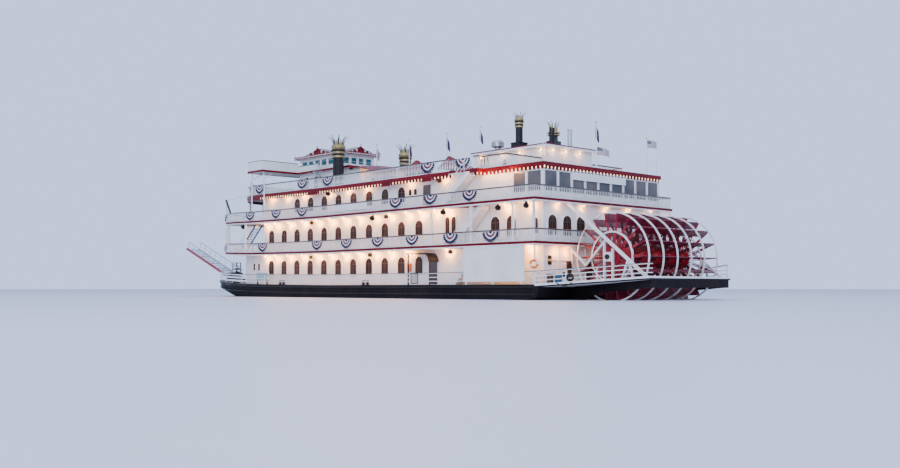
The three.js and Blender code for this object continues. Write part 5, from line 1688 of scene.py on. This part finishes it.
# %% [markdown]
# Stairs have a handrail on each side, and the pair on the foredeck has white rails over dark stringers. The rail
# follows the slope of the flight, so it is made from the same foot and head as the steps.

# %% Handrails of the stairs, and open flights on the foredeck
for side_name, side in SIDES:
    flight = Builder()
    low, high = SECOND_TOP + rise(50.9), THIRD_TOP + rise(46.9)
    for y in (6.24, 7.16):
        flight.beam(at(50.75, side * y, low + 0.14), at(47.0, side * y, high - 0.16), 0.02, 0.11)
    for index in range(12):
        part = (index + 0.75) / 12.5
        x, z = 50.9 - 4.0 * part, low + (high - low) * part
        flight.block((x - 0.15, 6.22, z - 0.02) if side > 0 else (x - 0.15, -7.18, z - 0.02),
            (x + 0.15, 7.18, z + 0.02) if side > 0 else (x + 0.15, -6.22, z + 0.02))
    flown = flight.made("foredeck_flight_" + side_name, DARK_WOOD, bevel=0.003)
    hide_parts("foredeck_stair_" + side_name)

stair_rails = Builder()
# columns: foot x, foot level, head x, head level, inner y, outer y
for foot_x, foot_z, head_x, head_z, inner, outer in (
    (10.5, MAIN_TOP, 6.9, SECOND_TOP, 8.42, 9.30), (10.3, SECOND_TOP, 6.7, THIRD_TOP, 8.42, 9.30),
    (12.0, THIRD_TOP, 8.4, ROOF_TOP, 8.42, 9.30), (50.9, SECOND_TOP, 46.9, THIRD_TOP, 6.26, 7.14),
):
    low, high = foot_z + rise(foot_x), head_z + rise(head_x)
    for side in (-1, 1):
        for y in (side * inner, side * outer):
            start, end = at(foot_x - 0.1, y, low + 1.05), at(head_x + 0.35, y, high + 0.80)
            stair_rails.tube([start, end], 0.017, 8)
            stair_rails.tube([start - Vector((0, 0, 0.22)), end - Vector((0, 0, 0.22))], 0.010, 6)
            for part in (0.04, 0.36, 0.68, 0.97):
                top = start.lerp(end, part)
                stair_rails.tube([top - Vector((0, 0, 0.46)), top], 0.014, 8)
stair_rails.made("stair_handrails", WHITE_PAINT, smooth=40)

# %% [markdown]
# A curved wind screen of pale glass stands round the front of the roof, behind its rail, between white mullions.
# Four white posts stand there too, and thin stays run from the derrick heads to the edge of the roof.

# %% Wind screen, posts and stays at the front of the roof
screen_glass, screen_bars, rigging = Builder(), Builder(), Builder()
screen_line = [(x, y) for x, y in edge_line(ROOF_PLAN, 0.42) if x > 45.5]
for (x0, y0), (x1, y1) in zip(screen_line, screen_line[1:]):
    foot0, foot1 = ROOF_TOP + rise(x0), ROOF_TOP + rise(x1)
    corners = [at(x0, y0, foot0 + 0.16), at(x1, y1, foot1 + 0.16), at(x1, y1, foot1 + 1.72),
        at(x0, y0, foot0 + 1.72)]
    away = (corners[1] - corners[0]).cross(Vector((0, 0, 1))).normalized() * 0.012
    screen_glass.plate(corners, away)
    for low in (0.12, 1.70):
        screen_bars.beam(at(x0, y0, foot0 + low), at(x1, y1, foot1 + low), 0.030, 0.034)
    steps = max(1, round(math.hypot(x1 - x0, y1 - y0) / 1.1))
    for index in range(steps + 1):
        x, y = x0 + (x1 - x0) * index / steps, y0 + (y1 - y0) * index / steps
        screen_bars.beam(at(x, y, ROOF_TOP + rise(x) + 0.002), at(x, y, ROOF_TOP + rise(x) + 1.74), 0.030,
            0.030)
screen_glass.made("wind_screen_glass", SCREEN_GLASS, slot="window_glass")
for x, y in ((50.07, 6.16), (52.10, 2.93)):
    for side in (-1, 1):
        foot = ROOF_TOP + rise(x) + 0.002
        screen_bars.tube([at(x, side * y, foot), at(x, side * y, foot + 2.0)], [0.045, 0.036], 12)
        screen_bars.turned(at(x, side * y, foot + 1.98), (0, 0, 1),
            [(0.03, 0), (0.10, 0.04), (0.10, 0.12), (0.02, 0.18)], 12)
screen_bars.made("wind_screen_bars", WHITE_PAINT, smooth=40)
for side in (-1, 1):
    head = at(57.80, side * 5.0, 12.22)
    rigging.tube([head, at(52.45, side * 2.75, ROOF_TOP + rise(52.4) + 1.10)], 0.008, 6)
    for aside in (-0.10, 0.10):
        rigging.tube([head, at(57.45, side * (5.0 + aside), 10.05)], 0.009, 6, kind=1)
    rigging.turned(at(57.42, side * 5.0, 10.12), (0, 0, -1),
        [(0.02, 0), (0.12, 0.04), (0.13, 0.22), (0.04, 0.34), (0.01, 0.36)], 12, kind=1)
rigging.made("derrick_tackles", [BLACK_PAINT, DARK_WOOD], smooth=40)

# %% [markdown]
# A working boat's main deck is never bare: mooring bitts, lockers, a tyre as a fender, a hose, life rings. They are
# small, but they break up the long clean lines. Most are guesses from a few dark pixels, and both sides get them.

# %% Bitts, lockers and gear on the main deck
bitts, lockers, rings = Builder(), Builder(), Builder()


def bitt(x, side, y, tall=0.62, thick=0.13, kind=0):
    """Two short posts on a foot plate, with a bar through them."""
    foot = MAIN_TOP + rise(x) + 0.002
    bitts.block((x - 0.55, side * y - 0.14, foot), (x + 0.55, side * y + 0.14, foot + 0.05), kind)
    for dx in (-0.32, 0.32):
        bitts.turned(at(x + dx, side * y, foot + 0.04), (0, 0, 1), [
            (thick, 0), (thick, tall), (thick * 1.35, tall + 0.02), (thick * 1.35, tall + 0.09),
            (0.03, tall + 0.12)], 14, kind)
    bitts.tube([at(x - 0.62, side * y, foot + tall * 0.6), at(x + 0.62, side * y, foot + tall * 0.6)], 0.022, 8,
        kind)


def locker(x0, x1, side, y, low, high, kind, deep=0.34):
    """A chest with a lid that stands a little proud, on two runners."""
    foot = MAIN_TOP + rise(x0) + 0.002
    y0, y1 = sorted((side * (y - deep), side * y))
    lockers.block((x0, y0, foot + 0.05), (x1, y1, high - 0.05), kind)
    lockers.block((x0 - 0.03, y0 - 0.03, high - 0.07), (x1 + 0.03, y1 + 0.03, high), kind)
    for x in (x0 + 0.06, x1 - 0.12):
        lockers.block((x, y0, foot), (x + 0.06, y1, foot + 0.06), 1)
    lockers.block(((x0 + x1) / 2 - 0.05, y1 - 0.001, low), ((x0 + x1) / 2 + 0.05, y1 + 0.02, low + 0.10), 1)


def hoop(builder, centre, facing, radius, thick, kinds=(0,), sides=10, steps=32):
    """A ring that faces along a direction, in arcs of changing kinds."""
    facing = Vector(facing).normalized()
    across = facing.cross(Vector((0, 0, 1))).normalized()
    circle = [centre + radius * (across * math.cos(a) + Vector((0, 0, 1)) * math.sin(a))
              for a in (2 * math.pi * i / steps for i in range(steps))]
    first = len(builder.kinds)
    builder.tube(circle, thick, sides, 0, closed=True)
    for face in range(first, len(builder.kinds)):
        builder.kinds[face] = kinds[((face - first) // sides * 8 // steps) % len(kinds)]


def fantail_edge(x):
    """How far out the side of the fantail lies."""
    return 9.75 + x * (9.75 - 5.85) / 8.5


for side in (-1, 1):
    for x in (38.1, 23.1):
        bitt(x, side, 9.28, tall=0.30)
    bitt(48.7, side, 8.75, tall=0.36)
    bitt(53.0, side, 7.2, tall=0.36)
    bitt(0.35, side, 9.15, tall=0.95, thick=0.12, kind=1)
    locker(-1.06, -0.62, side, fantail_edge(-1.0) - 0.32, 1.75, 2.16, 2)
    locker(-1.78, -1.20, side, fantail_edge(-1.7) - 0.32, 1.70, 2.14, 3)
    lockers.block((41.0, min(side * 9.14, side * 9.36), 1.86), (43.3, max(side * 9.14, side * 9.36), 2.62), 4)
    lockers.block((40.94, min(side * 9.10, side * 9.40), 2.60), (43.36, max(side * 9.10, side * 9.40), 2.70), 4)
    for x in (41.1, 43.1):
        lockers.block((x, min(side * 9.18, side * 9.32), MAIN_TOP + rise(x) + 0.002),
            (x + 0.12, max(side * 9.18, side * 9.32), 1.88), 1)
    lockers.block((-2.35, min(side * 8.50, side * 8.42), 1.42), (-1.85, max(side * 8.50, side * 8.42), 2.45), 5)
    lockers.block((-2.20, min(side * 8.50, side * 8.53), 1.90), (-1.95, max(side * 8.50, side * 8.53), 2.30), 1)
    lockers.block((17.30, min(side * 8.205, side * 8.38), 2.58), (17.78, max(side * 8.205, side * 8.38), 3.36),
        6)
    lockers.block((17.34, min(side * 8.38, side * 8.40), 2.62), (17.74, max(side * 8.38, side * 8.40), 3.32), 6)
    lockers.block((0.33, min(side * 7.25, side * 7.68), 2.95), (0.398, max(side * 7.25, side * 7.68), 3.72), 1)
    lockers.block((0.31, min(side * 7.25, side * 7.68), 3.25), (0.331, max(side * 7.25, side * 7.68), 3.42), 7)
    bitts.tube([at(0.30, side * 9.42, MAIN_TOP + 0.002),
        at(0.30, side * 9.42, SECOND_TOP - DECK_DEPTH - 0.002)], 0.035, 10, kind=1)
    hoop(rings, at(0.30, side * 9.50, 2.98), (-0.5, side, 0), 0.150, 0.045, (1, 1, 1, 0))
    hoop(rings, at(-2.76, side * (fantail_edge(-2.76) + 0.08), 1.86), (-0.42, side, 0), 0.125, 0.045, (2,))
    hose = [at(-1.7 - 1.2 * t, side * (fantail_edge(-1.7 - 1.2 * t) + 0.09),
        1.44 - 0.26 * math.sin(math.pi * t)) for t in np.linspace(0, 1, 15)]
    rings.tube(hose, 0.020, 8, kind=2)
    gate = [at(x, side * 9.66, z) for x in (14.72, 15.68) for z in (1.42, 2.38)]
    for start, end in ((0, 2), (1, 3), (0, 1), (2, 3)):
        bitts.beam(gate[start], gate[end], 0.025, 0.035)
    for index in range(5):
        bitts.tube([gate[0].lerp(gate[2], (index + 1) / 6), gate[1].lerp(gate[3], (index + 1) / 6)], 0.010, 6)
bitts.made("bitts_and_gates", [BLACK_PAINT, WHITE_PAINT], smooth=40)
BROWN_PAINT = painted("brown_paint", rgb(0.12, 0.055, 0.03), rgb(0.07, 0.035, 0.02))
PALE_TEAL = painted("pale_teal_paint", rgb(0.42, 0.62, 0.62), rgb(0.30, 0.46, 0.48))
YELLOW_PAINT = painted("yellow_paint", rgb(0.72, 0.50, 0.06), rgb(0.50, 0.34, 0.05))
lockers.made("lockers", [WHITE_PAINT, BLACK_PAINT, BROWN_PAINT, BLUE_PAINT, PALE_TEAL, WHITE_PAINT,
    ORANGE_PAINT, YELLOW_PAINT], bevel=0.004)
rings.made("life_rings_and_fenders", [WHITE_PAINT, ORANGE_PAINT, BLACK_PAINT], smooth=50)

# %% [markdown]
# On the foredeck stands a dark rack with shelves between the landing stages. The bow's rail has broad white boards,
# and an edge runs round the fantail.

# %% Foredeck rack, boards of the bow's rail, edge of the fantail
rack = Builder()
rack_x, rack_y, rack_foot = 57.9, 3.3, MAIN_TOP + rise(57.6) + 0.02
for dx in (-0.50, 0.50):
    for dy in (-0.28, 0.28):
        rack.block((rack_x + dx - 0.05, rack_y + dy - 0.05, rack_foot),
            (rack_x + dx + 0.05, rack_y + dy + 0.05, rack_foot + 2.15))
for up in (0.35, 0.80, 1.25, 1.70, 2.12):
    rack.block((rack_x - 0.55, rack_y - 0.33, rack_foot + up),
        (rack_x + 0.55, rack_y + 0.33, rack_foot + up + 0.07))
for index, up in enumerate((0.42, 0.87, 1.32)):
    rack.block((rack_x - 0.35, rack_y - 0.25, rack_foot + up),
        (rack_x + 0.30, rack_y + 0.25, rack_foot + up + 0.24 - 0.05 * index), 1)
rack.made("foredeck_rack", [BLACK_PAINT, BROWN_PAINT], bevel=0.004)

edges = Builder()
for side in (-1, 1):
    bow_part = [(x, y) for x, y in main_rail_line(side) if x > 44.0]
    for low, high in ((0.22, 0.42), (0.58, 0.78), (0.92, 1.04)):
        sweep(edges, bow_part, MAIN_TOP, oblong(low, high, 0.05, 0.06))
fantail = [(0.0, 9.75), (-8.5, 5.85), (-8.5, -5.85), (0.0, -9.75)]
sweep(edges, fantail, MAIN_TOP, oblong(-0.13, 0.03, 0.06, 0.035))
for side in (-1, 1):
    outer = [(x, side * 9.735) for x in ((1.2, 8.5) if side < 0 else (8.5, 1.2))]
    for low, high in ((0.24, 0.50), (3.10, 3.22)):
        sweep(edges, outer, MAIN_TOP, oblong(low, high, 0.03))
edges.made("bow_boards_and_fantail_edge", WHITE_PAINT, bevel=0.004)


# %% [markdown]
# The vent houses carry tall hipped roofs that show above the rail, and the roof has a few more small things: twin
# pipes and a crown over the organ aft, a white pole at the quarter, stanchions that pass the roof's edge at the bow.

# %% Tall roofs, stanchions and small things on the roof
caps, uprights = Builder(), Builder()
# columns: aft end, fore end, ridge aft, ridge fore, height of the apex
for x0, x1, ridge0, ridge1, apex in ((24.75, 27.25, 25.9, 26.3, 14.85), (18.6, 21.3, 20.75, 21.0, 14.80)):
    eave = 13.45
    lower = [at(x0, -1.25, eave), at(x1, -1.25, eave), at(x1, 1.25, eave), at(x0, 1.25, eave)]
    upper = [at(ridge0, -0.06, apex), at(ridge1, -0.06, apex), at(ridge1, 0.06, apex), at(ridge0, 0.06, apex)]
    caps.rings([[corner - Vector((0, 0, 0.04)) for corner in lower], lower, upper])
    for x in (x0 + 0.10, x1 - 0.10):
        for y in (-1.15, 1.15):
            uprights.tube([at(x, y, ROOF_TOP + rise(x) + 0.002), at(x, y, eave - 0.03)], 0.035, 10)
caps.made("vent_house_roofs", EDGE_RED, bevel=0.004)
for side in (-1, 1):
    for x in (44.7, 42.1):
        top = 12.98 + rise(x) * 0.5
        uprights.tube([at(x, side * 9.17, THIRD_TOP + rise(x) + 0.002), at(x, side * 9.17, top)], 0.040, 10)
        uprights.turned(at(x, side * 9.17, top - 0.01), (0, 0, 1),
            [(0.04, 0), (0.11, 0.05), (0.11, 0.12), (0.02, 0.17)], 12)
    uprights.tube([at(0.55, side * 8.05, ROOF_TOP + 0.002), at(0.55, side * 8.05, 13.15)], [0.032, 0.022], 10)
uprights.made("white_uprights", WHITE_PAINT, smooth=40)

roof_gear = Builder()
for y in (-0.35, 0.05):
    roof_gear.tube([at(4.55, y, STERN_ROOF_TOP + 0.002), at(4.55, y, 15.62)], 0.040, 12)
    roof_gear.turned(at(4.55, y, 15.60), (0, 0, 1), [(0.08, 0), (0.12, 0.02), (0.12, 0.06), (0.03, 0.12)], 12)
for index in range(8):
    turn = 2 * math.pi * (index + 0.5) / 8
    path = [at(6.4 + r * math.cos(turn), r * 0.9 * math.sin(turn), z) for r,
        z in ((0.30, 15.55), (0.34, 15.85), (0.38, 16.15), (0.52, 16.45), (0.74, 16.66))]
    roof_gear.tube(path, [0.030, 0.034, 0.028, 0.018, 0.006], 6, kind=1)
for r, z0, z1 in ((0.62, 15.50, 15.60), (0.60, 15.30, 15.36)):
    roof_gear.turned(at(6.4, 0, z0), (0, 0, 1), [(0.05, 0), (r, 0), (r, z1 - z0), (0.05, z1 - z0)], 20, kind=1)
roof_gear.made("organ_crown_and_pipes", [GREY_METAL, GOLD], smooth=40)

spars = Builder()
for side in (-1, 1):
    root, tip = at(51.9, side * 8.35, 7.05), at(52.65, side * 9.45, 7.07)
    spars.tube([root, tip], [0.022, 0.012], 8)
    for up in (8.15, 6.2):
        spars.tube([tip, at(51.9, side * 8.35, up)], 0.006, 6)
    spars.tube([at(51.9, side * 8.35, SECOND_TOP + rise(51.9) + 0.002), at(51.9, side * 8.35, 8.2)], 0.030, 8)
spars.made("bow_lamp_spars", WHITE_PAINT, smooth=40)

# %% [markdown]
# The roof's rail runs on across the notch where the roof stairs come up, on a thin sill between the two roof parts.
# It has the same balusters and handrail as the rest and carries one more fan.

# %% Rail across the notch
notch_rail = Builder()
for side in (-1, 1):
    notch_rail.block((8.42, min(side * 8.99, side * 9.05), 11.40),
        (11.18, max(side * 8.99, side * 9.05), 11.56), 1)
    for index in range(13):
        x = 8.52 + index * 0.215
        notch_rail.turned(at(x, side * 9.02, 11.56), (0, 0, 1), BALUSTER, 8)
    notch_rail.beam(at(8.42, side * 9.02, 12.60), at(11.18, side * 9.02, 12.60), 0.045, 0.03, 2)
notch_rail.made("notch_rail", [WHITE_PAINT, EDGE_RED, DARK_WOOD], smooth=40)
for side_name, side in SIDES:
    fan(f"notch_fan_{side_name}", 9.1, side * 9.06, float(side < 0) * 2 - 1, 0.0, 12.60)
